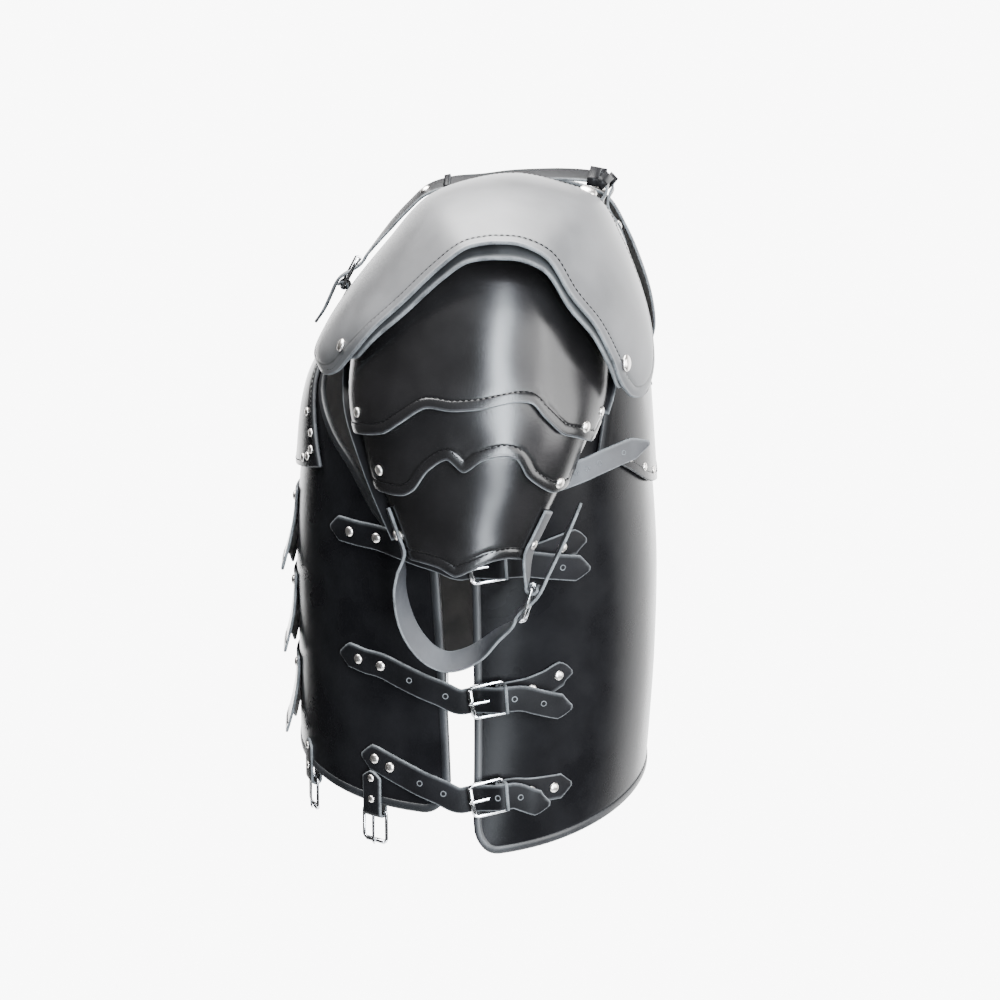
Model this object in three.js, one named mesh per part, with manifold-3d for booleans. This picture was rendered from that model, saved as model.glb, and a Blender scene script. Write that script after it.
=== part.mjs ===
// Leather cuirass: front and back plates, chest plate and yoke, belly lames,
// two laminated pauldrons, shoulder straps, side straps and tasset buckles.
// Millimetres, +Z up, front towards -Y, wearer's left towards +X.
// The origin lies between the shoulders, level with the shoulder line.

import * as THREE from 'three';
import { mergeVertices } from 'three/addons/utils/BufferGeometryUtils.js';
import Module from 'manifold-3d';

const wasm = await Module();
wasm.setup();

// Driving dimensions of the body
const bodyHeight = 531;
const chestHalfWidth = 196;
const frontDepth = 160;
const backDepth = 163;
const frontHemRise = 33;
const frontEdgeSetback = 11;
const frontHemSetback = 1;
const backEdgeSetback = 17;
const backHemSetback = 19;
const hemCornerRadius = 26;
const hemSideDip = 10;

// Driving dimensions of the leather
const plateWall = 3;
const lameWall = 2.5;
const strapWall = 2.2;
const layerGap = 0.65;
const plateGap = 1.5;
const seatGap = 0.8;

// Driving dimensions of the pauldrons
const shoulderReach = 272;
const capHalfSpan = 130;
const capDrop = 165;
const shoulderSetback = 26;
const armDrop = 289;
const armHalfWidth = 100;
const armReach = 282;
const lameFlare = 2.5;
const underCapDrop = 15;

// Driving dimensions of the straps and buckles
const sideStrapWidth = 20;
const shoulderStrapWidth = 22;
const shoulderStrapOffset = 80.5;
const armStrapWidth = 16;
const tassetTabWidth = 17;
const buckleLength = 29;
const buckleBar = 3;
const buckleSlack = 1.6;
const prongWidth = 3;
const prongWall = 2;
const loopSlack = 0.9;

// Driving dimensions of the belly lames
const bellyHalfWidth = 84;
const bellyHeight = 84;
const bellyPitch = 75;
const bellyTop = 262;
const bellyFlare = 11;

// Section rows of the body: drop below the shoulder line as a share of the
// body height, then half width, front depth and back depth as shares of their
// named sizes, and the exponent that squares the oval
const torsoRows = [
  { drop: 0.0, width: 0.88, front: 0.2, back: 0.52, square: 2.8 },
  { drop: 0.075, width: 0.918, front: 0.37, back: 0.7, square: 2.8 },
  { drop: 0.159, width: 0.944, front: 0.56, back: 0.81, square: 2.7 },
  { drop: 0.243, width: 0.965, front: 0.72, back: 0.865, square: 2.6 },
  { drop: 0.318, width: 0.98, front: 0.857, back: 0.896, square: 2.5 },
  { drop: 0.449, width: 0.99, front: 0.93, back: 0.933, square: 2.4 },
  { drop: 0.618, width: 0.965, front: 0.975, back: 0.975, square: 2.3 },
  { drop: 0.787, width: 0.965, front: 0.98, back: 0.975, square: 2.2 },
  { drop: 0.912, width: 1.005, front: 0.987, back: 0.957, square: 2.1 },
  { drop: 1.0, width: 1.046, front: 0.987, back: 0.939, square: 2.0 },
];

// Upper outline of the front plate from the side edge to the middle: place
// along the hem, then half width and drop of the upper end as shares
const frontTopRows = [
  { along: 0.0, width: 0.985, drop: 0.543 },
  { along: 0.03, width: 0.978, drop: 0.543 },
  { along: 0.08, width: 0.964, drop: 0.527 },
  { along: 0.15, width: 0.948, drop: 0.487 },
  { along: 0.26, width: 0.898, drop: 0.419 },
  { along: 0.38, width: 0.806, drop: 0.369 },
  { along: 0.5, width: 0.679, drop: 0.305 },
  { along: 0.62, width: 0.52, drop: 0.184 },
  { along: 0.75, width: 0.335, drop: 0.18 },
  { along: 0.88, width: 0.19, drop: 0.221 },
  { along: 1.0, width: 0.0, drop: 0.24 },
];

const backTopRows = [
  { along: 0.0, width: 0.98, drop: 0.543 },
  { along: 0.03, width: 0.972, drop: 0.543 },
  { along: 0.08, width: 0.958, drop: 0.53 },
  { along: 0.15, width: 0.944, drop: 0.49 },
  { along: 0.26, width: 0.908, drop: 0.416 },
  { along: 0.38, width: 0.816, drop: 0.32 },
  { along: 0.5, width: 0.714, drop: 0.215 },
  { along: 0.62, width: 0.54, drop: 0.048 },
  { along: 0.75, width: 0.325, drop: 0.032 },
  { along: 0.88, width: 0.18, drop: 0.064 },
  { along: 1.0, width: 0.0, drop: 0.075 },
];

// Chest plate and yoke: half width and drop of the upper and lower ends of
// each column, from the armhole side to the middle
const chestRows = [
  { along: 0.0, topWidth: 0.49, topDrop: 0.19, lowWidth: 0.775, lowDrop: 0.429 },
  { along: 0.2, topWidth: 0.34, topDrop: 0.187, lowWidth: 0.635, lowDrop: 0.439 },
  { along: 0.5, topWidth: 0.2, topDrop: 0.225, lowWidth: 0.4, lowDrop: 0.449 },
  { along: 1.0, topWidth: 0.0, topDrop: 0.251, lowWidth: 0.0, lowDrop: 0.455 },
];

const yokeRows = [
  { along: 0.0, topWidth: 0.51, topDrop: 0.056, lowWidth: 0.765, lowDrop: 0.4 },
  { along: 0.2, topWidth: 0.33, topDrop: 0.04, lowWidth: 0.6, lowDrop: 0.434 },
  { along: 0.5, topWidth: 0.18, topDrop: 0.07, lowWidth: 0.36, lowDrop: 0.47 },
  { along: 1.0, topWidth: 0.0, topDrop: 0.082, lowWidth: 0.0, lowDrop: 0.494 },
];

// Lower outline of a belly lame: across is a share of its half width, lower
// is a share of its height
const bellyRows = [
  { across: 0.0, lower: 1.0 },
  { across: 0.12, lower: 0.9 },
  { across: 0.35, lower: 0.82 },
  { across: 0.6, lower: 0.8 },
  { across: 0.85, lower: 0.9 },
  { across: 1.0, lower: 0.84 },
];

// Pauldron cap: its edge at the neck, row by row from the front lobe to the
// back lobe. Reach is a share of shoulderReach, along is the distance behind
// shoulderSetback as a share of capHalfSpan, and drop is a share of capDrop
const capNeckRows = [
  { reach: 0.662, along: -1, drop: 0.891 },
  { reach: 0.599, along: -1.062, drop: 0.812 },
  { reach: 0.559, along: -1, drop: 0.685 },
  { reach: 0.496, along: -0.877, drop: 0.521 },
  { reach: 0.419, along: -0.662, drop: 0.297 },
  { reach: 0.36, along: -0.415, drop: 0.079 },
  { reach: 0.342, along: -0.123, drop: -0.006 },
  { reach: 0.342, along: 0.146, drop: -0.03 },
  { reach: 0.342, along: 0.415, drop: 0.012 },
  { reach: 0.36, along: 0.646, drop: 0.085 },
  { reach: 0.412, along: 0.785, drop: 0.255 },
  { reach: 0.463, along: 0.9, drop: 0.461 },
  { reach: 0.526, along: 0.977, drop: 0.655 },
  { reach: 0.588, along: 1.008, drop: 0.836 },
  { reach: 0.647, along: 0.985, drop: 0.952 },
];

// The cap's outer edge, row for row opposite the neck edge
const capOuterRows = [
  { reach: 0.757, along: -0.877, drop: 0.897 },
  { reach: 0.868, along: -0.715, drop: 0.764 },
  { reach: 0.926, along: -0.577, drop: 0.648 },
  { reach: 0.96, along: -0.392, drop: 0.521 },
  { reach: 0.982, along: -0.185, drop: 0.37 },
  { reach: 0.996, along: -0.031, drop: 0.282 },
  { reach: 1, along: 0.085, drop: 0.261 },
  { reach: 1.004, along: 0.169, drop: 0.258 },
  { reach: 0.993, along: 0.277, drop: 0.267 },
  { reach: 0.978, along: 0.423, drop: 0.327 },
  { reach: 0.96, along: 0.554, drop: 0.491 },
  { reach: 0.926, along: 0.685, drop: 0.624 },
  { reach: 0.875, along: 0.777, drop: 0.776 },
  { reach: 0.809, along: 0.831, drop: 0.903 },
  { reach: 0.746, along: 0.9, drop: 0.994 },
];

// Half tube round the upper arm that the lames lie on: drop is a share of
// armDrop, reach a share of armReach, middle a share of shoulderSetback, and
// half width and hollow are shares of armHalfWidth
const armRows = [
  { drop: 0.11, reach: 0.79, middle: 1.0, width: 0.96, hollow: 1.05 },
  { drop: 0.2, reach: 0.87, middle: 1.0, width: 0.98, hollow: 1.02 },
  { drop: 0.3, reach: 0.92, middle: 0.95, width: 1.0, hollow: 0.98 },
  { drop: 0.4, reach: 0.955, middle: 0.92, width: 1.01, hollow: 1.02 },
  { drop: 0.554, reach: 0.995, middle: 0.88, width: 1.0, hollow: 0.86 },
  { drop: 0.657, reach: 0.993, middle: 0.85, width: 0.9, hollow: 0.66 },
  { drop: 0.796, reach: 0.979, middle: 0.77, width: 0.74, hollow: 0.52 },
  { drop: 1.0, reach: 0.961, middle: 0.67, width: 0.46, hollow: 0.36 },
];

// Lower outlines of the three lames: across is the sine of the angle round
// the arm, drop a share of armDrop
const lameEdges = [
  [
    { across: -1.0, drop: 0.647 },
    { across: -0.66, drop: 0.63 },
    { across: -0.5, drop: 0.6 },
    { across: -0.29, drop: 0.558 },
    { across: -0.1, drop: 0.563 },
    { across: 0.1, drop: 0.558 },
    { across: 0.35, drop: 0.541 },
    { across: 0.47, drop: 0.546 },
    { across: 0.57, drop: 0.581 },
    { across: 0.73, drop: 0.626 },
    { across: 0.85, drop: 0.64 },
    { across: 1.0, drop: 0.661 },
  ],
  [
    { across: -1.0, drop: 0.792 },
    { across: -0.64, drop: 0.792 },
    { across: -0.49, drop: 0.772 },
    { across: -0.33, drop: 0.72 },
    { across: -0.15, drop: 0.688 },
    { across: 0.0, drop: 0.72 },
    { across: 0.15, drop: 0.69 },
    { across: 0.33, drop: 0.678 },
    { across: 0.45, drop: 0.689 },
    { across: 0.57, drop: 0.734 },
    { across: 0.74, drop: 0.768 },
    { across: 0.88, drop: 0.787 },
    { across: 1.0, drop: 0.782 },
  ],
  [
    { across: -1.0, drop: 0.976 },
    { across: -0.69, drop: 0.972 },
    { across: -0.38, drop: 0.979 },
    { across: -0.1, drop: 1.0 },
    { across: 0.14, drop: 0.986 },
    { across: 0.45, drop: 0.962 },
    { across: 0.7, drop: 0.958 },
    { across: 1.0, drop: 0.974 },
  ],
];

// Upper outlines of the three lames, tucked under what lies above them
const lameTops = [
  [
    { across: -1.0, drop: 0.44 },
    { across: -0.64, drop: 0.352 },
    { across: -0.3, drop: 0.262 },
    { across: 0.0, drop: 0.165 },
    { across: 0.2, drop: 0.11 },
    { across: 0.35, drop: 0.16 },
    { across: 0.6, drop: 0.255 },
    { across: 0.8, drop: 0.33 },
    { across: 1.0, drop: 0.44 },
  ],
  [
    { across: -1.0, drop: 0.57 },
    { across: 0.0, drop: 0.47 },
    { across: 1.0, drop: 0.57 },
  ],
  [
    { across: -1.0, drop: 0.69 },
    { across: 0.0, drop: 0.62 },
    { across: 1.0, drop: 0.69 },
  ],
];
const lameHalfTurn = THREE.MathUtils.degToRad(85);

// Side straps. Drops are heights as shares of bodyHeight. Tip, tail and tab
// are places round the body, as shares of chestHalfWidth in front of (-) or
// behind (+) the side line
const sideStraps = [
  {
    name: 'upper',
    tip: -0.5,
    tipDrop: 0.518,
    rivetDrop: 0.521,
    buckleDrop: 0.557,
    tail: 0.5,
    tailDrop: 0.566,
    tab: 0.52,
    tabDrop: 0.532,
  },
  {
    name: 'middle',
    tip: -0.47,
    tipDrop: 0.718,
    rivetDrop: 0.723,
    buckleDrop: 0.768,
    tail: 0.44,
    tailDrop: 0.782,
    tab: 0.47,
    tabDrop: 0.738,
  },
  {
    name: 'lower',
    tip: -0.375,
    tipDrop: 0.874,
    rivetDrop: 0.876,
    buckleDrop: 0.92,
    tail: 0.36,
    tailDrop: 0.93,
    tab: 0.47,
    tabDrop: 0.918,
  },
];
const strapBend = -0.29;
const sideBuckle = 0.14;
const buckleHalf = 0.066;
const buckleTilt = THREE.MathUtils.degToRad(9);

// Tasset tabs at the front hem: place as a share of chestHalfWidth in front
// of the side line, and how far the tab is pressed back on the plate
const tassetTabs = [
  { name: 'outer', along: 0.33, press: 0 },
  { name: 'inner', along: 0.67, press: 0.6 },
];
const tabRise = 18;
const tabTip = 5;
const tabHang = 12;
const tabFold = 6;
const tipWidth = 3;
const tipLength = 0.04;

const colours = {
  leather: { color: 0x121212, roughness: 0.38, metalness: 0.0 },
  strap: { color: 0x1a1a1b, roughness: 0.5, metalness: 0.0 },
  metal: { color: 0xc9cbd0, roughness: 0.18, metalness: 1.0 },
};

// Reading a table: a smooth curve through its rows
function lookUp(rows, key, at, column) {
  let i = 0;
  while (i < rows.length - 2 && at > rows[i + 1][key]) {
    i += 1;
  }
  const before = rows[Math.max(i - 1, 0)];
  const a = rows[i];
  const b = rows[i + 1];
  const after = rows[Math.min(i + 2, rows.length - 1)];
  const span = b[key] - a[key];
  const t = THREE.MathUtils.clamp((at - a[key]) / span, 0, 1);
  const slopeA = ((b[column] - before[column]) / (b[key] - before[key])) * span;
  const slopeB = ((after[column] - a[column]) / (after[key] - a[key])) * span;
  const t2 = t * t;
  const t3 = t2 * t;
  return (2 * t3 - 3 * t2 + 1) * a[column] + (t3 - 2 * t2 + t) * slopeA
    + (3 * t2 - 2 * t3) * b[column] + (t3 - t2) * slopeB;
}

// The same with straight stretches between the rows
function lookUpStraight(rows, key, at, column) {
  let i = 0;
  while (i < rows.length - 2 && at > rows[i + 1][key]) {
    i += 1;
  }
  const a = rows[i];
  const b = rows[i + 1];
  const t = THREE.MathUtils.clamp((at - a[key]) / (b[key] - a[key]), 0, 1);
  return a[column] + (b[column] - a[column]) * t;
}

// Closed bodies
function bodyFrom(points, faces) {
  const geometry = new THREE.BufferGeometry();
  const numbers = [];
  for (const p of points) {
    numbers.push(p.x, p.y, p.z);
  }
  let volume = 0;
  for (const [a, b, c] of faces) {
    volume += points[a].dot(new THREE.Vector3().crossVectors(points[b], points[c]));
  }
  const index = faces.flatMap(([a, b, c]) => (volume > 0 ? [a, b, c] : [a, c, b]));
  geometry.setAttribute('position', new THREE.Float32BufferAttribute(numbers, 3));
  geometry.setIndex(index);
  return geometry;
}

// A sheet of leather: columns by rows of points on its outer and inner side
function sheet(columns, rows, outer, inner) {
  const points = [];
  const faces = [];
  for (const side of [outer, inner]) {
    for (let i = 0; i <= columns; i += 1) {
      for (let j = 0; j <= rows; j += 1) {
        points.push(side(i / columns, j / rows));
      }
    }
  }
  const count = (columns + 1) * (rows + 1);
  const at = (i, j) => i * (rows + 1) + j;
  const quad = (a, b, c, d) => {
    faces.push([a, b, c]);
    faces.push([a, c, d]);
  };
  for (let i = 0; i < columns; i += 1) {
    for (let j = 0; j < rows; j += 1) {
      quad(at(i, j), at(i + 1, j), at(i + 1, j + 1), at(i, j + 1));
      quad(count + at(i, j), count + at(i, j + 1), count + at(i + 1, j + 1), count + at(i + 1, j));
    }
    quad(at(i + 1, 0), at(i, 0), count + at(i, 0), count + at(i + 1, 0));
    quad(at(i, rows), at(i + 1, rows), count + at(i + 1, rows), count + at(i, rows));
  }
  for (let j = 0; j < rows; j += 1) {
    quad(at(0, j), at(0, j + 1), count + at(0, j + 1), count + at(0, j));
    quad(at(columns, j + 1), at(columns, j), count + at(columns, j), count + at(columns, j + 1));
  }
  return bodyFrom(points, faces);
}

// A strap: stations hold the middle line, the direction across and the width
function ribbon(stations, thickness) {
  const points = [];
  const faces = [];
  stations.forEach((station, i) => {
    const before = stations[Math.max(i - 1, 0)].point;
    const after = stations[Math.min(i + 1, stations.length - 1)].point;
    const along = after.clone().sub(before).normalize();
    const across = station.across.clone().addScaledVector(along, -station.across.dot(along)).normalize();
    const up = along.clone().cross(across);
    for (const [w, t] of [[-1, -1], [1, -1], [1, 1], [-1, 1]]) {
      points.push(station.point.clone()
        .addScaledVector(across, (w * station.width) / 2)
        .addScaledVector(up, (t * thickness) / 2));
    }
  });
  const quad = (a, b, c, d) => {
    faces.push([a, b, c]);
    faces.push([a, c, d]);
  };
  for (let i = 0; i < stations.length - 1; i += 1) {
    for (let k = 0; k < 4; k += 1) {
      const next = (k + 1) % 4;
      quad(4 * i + k, 4 * i + next, 4 * i + 4 + next, 4 * i + 4 + k);
    }
  }
  const last = 4 * (stations.length - 1);
  quad(3, 2, 1, 0);
  quad(last, last + 1, last + 2, last + 3);
  return bodyFrom(points, faces);
}

// Joining and cutting closed bodies
function toSolid(geometry) {
  const plain = geometry.clone();
  plain.deleteAttribute('normal');
  plain.deleteAttribute('uv');
  const merged = mergeVertices(plain, 1e-4);
  return new wasm.Manifold(new wasm.Mesh({
    numProp: 3,
    vertProperties: new Float32Array(merged.attributes.position.array),
    triVerts: new Uint32Array(merged.index.array),
  }));
}

function toGeometry(solid) {
  const mesh = solid.getMesh();
  const geometry = new THREE.BufferGeometry();
  geometry.setAttribute('position', new THREE.BufferAttribute(mesh.vertProperties, 3));
  geometry.setIndex(new THREE.BufferAttribute(mesh.triVerts, 1));
  return geometry;
}

// The body surface
function torsoSection(z) {
  const drop = -z / bodyHeight;
  return {
    width: lookUp(torsoRows, 'drop', drop, 'width') * chestHalfWidth,
    front: lookUp(torsoRows, 'drop', drop, 'front') * frontDepth,
    back: lookUp(torsoRows, 'drop', drop, 'back') * backDepth,
    square: lookUp(torsoRows, 'drop', drop, 'square'),
  };
}

function torsoSkin(angle, z) {
  const section = torsoSection(z);
  const c = Math.cos(angle);
  const s = Math.sin(angle);
  const n = section.square;
  const reach = (Math.abs(c) ** n + Math.abs(s) ** n) ** (-1 / n);
  const depth = s < 0 ? section.front : section.back;
  return new THREE.Vector3(section.width * c * reach, depth * s * reach, z);
}

function torsoNormal(angle, z) {
  const turn = 0.02;
  const step = 2;
  const around = torsoSkin(angle + turn, z).sub(torsoSkin(angle - turn, z));
  const up = torsoSkin(angle, z + step).sub(torsoSkin(angle, z - step));
  return around.cross(up).normalize();
}

function torsoPoint(angle, z, lift) {
  return torsoSkin(angle, z).addScaledVector(torsoNormal(angle, z), lift);
}

// Angles round the body: 0 at the wearer's left, negative towards the front
function otherShare(share, n) {
  return (1 - THREE.MathUtils.clamp(share, 0, 1) ** n) ** (1 / n);
}

function angleAtWidth(x, z, end) {
  const section = torsoSection(z);
  const share = Math.min(Math.abs(x) / section.width, 1);
  return end * Math.atan2(otherShare(share, section.square), share);
}

function angleAtDepth(y, z) {
  const section = torsoSection(z);
  const share = Math.min(Math.abs(y) / (y < 0 ? section.front : section.back), 1);
  return Math.sign(y) * Math.atan2(share, otherShare(share, section.square));
}

// Mirrors a share 0..1 across the whole plate into a side (-1 or 1) and the
// distance 0..1 from that side's edge to the middle
function halfOf(share) {
  const across = 2 * share - 1;
  return { side: across < 0 ? -1 : 1, along: 1 - Math.abs(across) };
}

function sideAngle(angle, side, end) {
  return side > 0 ? angle : end * Math.PI - angle;
}

// Columns stand close together at the side edges, where the hem turns up
function spread(share) {
  const { side, along } = halfOf(share);
  return { side, along: along ** 1.35 };
}

function hemCornerLift(fromEdge) {
  if (fromEdge >= hemCornerRadius) {
    return 0;
  }
  const inside = hemCornerRadius - fromEdge;
  return hemCornerRadius - Math.sqrt(hemCornerRadius ** 2 - inside ** 2);
}

// A body plate with hem, side edges, armholes and neckline
function bodyPlate(end, setback, hemSetback, hem, topRows, rows) {
  const place = (share, height, lift) => {
    const { side, along } = spread(share);
    const middle = (end * Math.PI) / 2;
    const edgeAngle = angleAtDepth(end * hemSetback, -hem);
    const lowAngle = edgeAngle + (middle - edgeAngle) * along;
    const fromEdge = Math.abs(lowAngle - edgeAngle) * chestHalfWidth;
    const dip = hemSideDip * Math.cos(lowAngle) ** 2;
    const lowZ = -hem - dip + hemSideDip / 2 + hemCornerLift(fromEdge);
    const topZ = -lookUp(topRows, 'along', along, 'drop') * bodyHeight;
    const topX = lookUp(topRows, 'along', along, 'width') * chestHalfWidth;
    const widthAngle = angleAtWidth(topX, topZ, end);
    const limit = angleAtDepth(end * setback, topZ);
    const topAngle = end < 0 ? Math.min(widthAngle, limit) : Math.max(widthAngle, limit);
    const angle = lowAngle + (topAngle - lowAngle) * height;
    const z = lowZ + (topZ - lowZ) * height;
    return torsoPoint(sideAngle(angle, side, end), z, lift);
  };
  return sheet(22, rows, (u, v) => place(u, v, plateWall), (u, v) => place(u, v, 0));
}

// The chest plate and the yoke lie on the body plates
function overPlate(end, tableRows) {
  const inner = plateWall + plateGap;
  const place = (share, height, lift) => {
    const { side, along } = halfOf(share);
    const read = (column) => lookUp(tableRows, 'along', along, column);
    const lowZ = -read('lowDrop') * bodyHeight;
    const topZ = -read('topDrop') * bodyHeight;
    const lowAngle = angleAtWidth(read('lowWidth') * chestHalfWidth, lowZ, end);
    const topAngle = angleAtWidth(read('topWidth') * chestHalfWidth, topZ, end);
    const angle = lowAngle + (topAngle - lowAngle) * height;
    const z = lowZ + (topZ - lowZ) * height;
    return torsoPoint(sideAngle(angle, side, end), z, lift);
  };
  return sheet(16, 6, (u, v) => place(u, v, inner + plateWall), (u, v) => place(u, v, inner));
}

// A belly lame: riveted along its top, its lower edge stands off the plate
function bellyLame(index) {
  const inner = plateWall + layerGap;
  const top = -bellyTop - index * bellyPitch;
  const place = (share, height, lift) => {
    const across = 2 * share - 1;
    const lower = lookUpStraight(bellyRows, 'across', Math.abs(across), 'lower');
    const z = top - bellyHeight * lower * height;
    const x = across * bellyHalfWidth * (1 - 0.12 * height);
    const angle = angleAtWidth(x, z, -1);
    const flare = bellyFlare * height ** 2;
    return torsoPoint(across < 0 ? -Math.PI - angle : angle, z, lift + flare);
  };
  return sheet(10, 4, (u, v) => place(u, v, inner + lameWall), (u, v) => place(u, v, inner));
}

// The pauldron cap: a saddle between its neck edge and its outer edge
function capCurve(rows) {
  const points = rows.map((row) => new THREE.Vector3(
    row.reach * shoulderReach,
    shoulderSetback + row.along * capHalfSpan,
    -row.drop * capDrop,
  ));
  return new THREE.CatmullRomCurve3(points, false, 'centripetal');
}
const neckCurve = capCurve(capNeckRows);
const outerCurve = capCurve(capOuterRows);

function capChord(along, out) {
  return neckCurve.getPoint(along).lerp(outerCurve.getPoint(along), out);
}

function capNormal(along, out) {
  const step = 0.01;
  const low = Math.max(along - step, 0);
  const high = Math.min(along + step, 1);
  const around = capChord(high, out).sub(capChord(low, out));
  const outward = capChord(along, out + step).sub(capChord(along, out - step));
  return outward.cross(around).normalize();
}

const capCrown = 0.08;
function capPoint(along, out, lift) {
  const band = neckCurve.getPoint(along).distanceTo(outerCurve.getPoint(along));
  const crown = capCrown * band * Math.sin(Math.PI * Math.min(out, 1)) ** 0.9;
  return capChord(along, out).addScaledVector(capNormal(along, out), crown + lift);
}

function pauldronCap() {
  return sheet(22, 5, (u, v) => capPoint(u, v, 0), (u, v) => capPoint(u, v, -lameWall));
}

// The layer below the cap shows its raw edge under the cap's outer edge
const underCapStart = 0.6;
const underCapInset = 0.06;
const underCapGap = 0.65;
function underCap() {
  const place = (share, height, lift) => {
    const along = underCapInset + (1 - 2 * underCapInset) * share;
    const out = underCapStart + (1 - underCapStart) * height;
    const middle = Math.sin(Math.PI * share);
    const hang = (0.25 + 0.75 * middle) * underCapDrop * height ** 2;
    return capPoint(along, out, lift).add(new THREE.Vector3(0, 0, -hang));
  };
  const outer = -lameWall - layerGap - underCapGap;
  return sheet(20, 2, (u, v) => place(u, v, outer), (u, v) => place(u, v, outer - lameWall));
}

// The lames round the upper arm
function armSkin(turn, drop) {
  const read = (column) => lookUp(armRows, 'drop', drop, column);
  const width = read('width') * armHalfWidth;
  const hollow = read('hollow') * armHalfWidth;
  return new THREE.Vector3(
    read('reach') * armReach - hollow * (1 - Math.cos(turn)),
    read('middle') * shoulderSetback + width * Math.sin(turn),
    -drop * armDrop,
  );
}

function armPoint(turn, drop, lift) {
  const step = 0.01;
  const around = armSkin(turn + step, drop).sub(armSkin(turn - step, drop));
  const down = armSkin(turn, drop + step).sub(armSkin(turn, drop - step));
  const normal = down.cross(around).normalize();
  return armSkin(turn, drop).addScaledVector(normal, lift);
}

const lameStep = lameWall + layerGap;
function armLame(index) {
  const outer = -index * lameStep;
  const place = (share, height, lift) => {
    const turn = (2 * share - 1) * lameHalfTurn;
    const across = Math.sin(turn) / Math.sin(lameHalfTurn);
    const low = lookUpStraight(lameEdges[index], 'across', across, 'drop');
    const top = lookUpStraight(lameTops[index], 'across', across, 'drop');
    const drop = top + (low - top) * height;
    return armPoint(turn, drop, lift + lameFlare * height ** 3);
  };
  return sheet(16, 4, (u, v) => place(u, v, outer), (u, v) => place(u, v, outer - lameWall));
}

// A buckle in its own frame: X runs from the outer bar to the hinge bar, Y
// across the strap and Z away from the wearer. Its origin is on the hinge bar
function buckleGeometry(strapWidth) {
  const half = strapWidth / 2 + buckleSlack;
  const cut = 2.5;
  const edge = half + buckleBar;
  const rear = buckleBar / 2;
  const front = -buckleLength + buckleBar / 2;
  const outline = new THREE.Shape();
  outline.moveTo(front, -edge + cut);
  outline.lineTo(front + cut, -edge);
  outline.lineTo(rear, -edge);
  outline.lineTo(rear, edge);
  outline.lineTo(front + cut, edge);
  outline.lineTo(front, edge - cut);
  outline.closePath();
  const window = new THREE.Path();
  window.moveTo(front + buckleBar, -half);
  window.lineTo(front + buckleBar, half);
  window.lineTo(-rear, half);
  window.lineTo(-rear, -half);
  window.closePath();
  outline.holes.push(window);
  const frame = new THREE.ExtrudeGeometry(outline, { depth: buckleBar, bevelEnabled: false });
  frame.translate(0, 0, -buckleBar / 2);
  return toGeometry(toSolid(frame).add(toSolid(prongGeometry(0))));
}

// The prong runs from the hinge bar to the top of the outer bar
function prongGeometry(margin) {
  const reach = buckleLength - buckleBar;
  const rise = buckleBar / 2 + prongWall / 2 + 0.1;
  const length = Math.hypot(reach, rise) + buckleBar;
  const prong = new THREE.BoxGeometry(
    length + 2 * margin,
    prongWidth + 2 * margin,
    prongWall + 2 * margin,
  );
  prong.translate(-length / 2 + buckleBar / 2, 0, 0);
  prong.rotateY(Math.atan2(rise, reach));
  return prong;
}

// A frame of axes: place of the hinge bar, direction towards it, direction out
function buckleFrame(point, towards, out) {
  const x = towards.clone().normalize();
  const z = out.clone().addScaledVector(x, -out.dot(x)).normalize();
  const y = z.clone().cross(x);
  return new THREE.Matrix4().makeBasis(x, y, z).setPosition(point);
}

function cutForProng(geometry, frame) {
  const cutter = prongGeometry(0.5).applyMatrix4(frame);
  return toGeometry(toSolid(geometry).subtract(toSolid(cutter)));
}

// A slot long enough for the prong to swing with its buckle
const swingIn = -45;
const swingOut = 90;
const swingStep = 27;
function cutForSwing(geometry, frame) {
  let solid = toSolid(geometry);
  for (let degrees = swingIn; degrees <= swingOut; degrees += swingStep) {
    const cutter = prongGeometry(0.7);
    cutter.rotateY(THREE.MathUtils.degToRad(degrees));
    solid = solid.subtract(toSolid(cutter.applyMatrix4(frame)));
  }
  return toGeometry(solid);
}

// Stations of a loop round the hinge bar, in the buckle's frame: from below
// the bar, round its window side, to above it
const loopRadius = (buckleBar / 2) * Math.SQRT2 + loopSlack + strapWall / 2;
function loopStations(frame, width, endDegrees) {
  const across = new THREE.Vector3().setFromMatrixColumn(frame, 1);
  const stations = [];
  for (let degrees = 90; degrees <= endDegrees; degrees += 30) {
    const turn = THREE.MathUtils.degToRad(degrees);
    const point = new THREE.Vector3(
      loopRadius * Math.cos(turn),
      0,
      -loopRadius * Math.sin(turn),
    ).applyMatrix4(frame);
    stations.push({ point, across, width });
  }
  return stations;
}

// Side straps, with their buckles and tabs
const strapSeat = plateWall + seatGap + strapWall / 2;
const barLift = strapSeat + loopRadius;
const overLoop = barLift + loopRadius + strapWall + 2 * seatGap;

function sideStation(along, drop, lift, width) {
  const z = -drop * bodyHeight;
  const y = along * chestHalfWidth;
  const angle = angleAtDepth(y === 0 ? 0.01 : y, z);
  const normal = torsoNormal(angle, z);
  const around = torsoPoint(angle + 0.02, z, 0).sub(torsoPoint(angle - 0.02, z, 0)).normalize();
  const across = normal.clone().cross(around);
  return { point: torsoPoint(angle, z, lift), across, width, normal, around };
}

// Height of the line through a side buckle, which rises towards its hinge bar
function buckleLine(strap, along) {
  const rise = (along - sideBuckle) * chestHalfWidth * Math.tan(buckleTilt);
  return strap.buckleDrop - rise / bodyHeight;
}

// The hinge bar of a side buckle stands off the body by its loop
function sideBuckleFrame(strap) {
  const along = sideBuckle + buckleHalf;
  const bar = sideStation(along, buckleLine(strap, along), barLift, 0);
  return buckleFrame(bar.point, bar.around.applyAxisAngle(bar.normal, buckleTilt), bar.normal);
}

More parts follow.
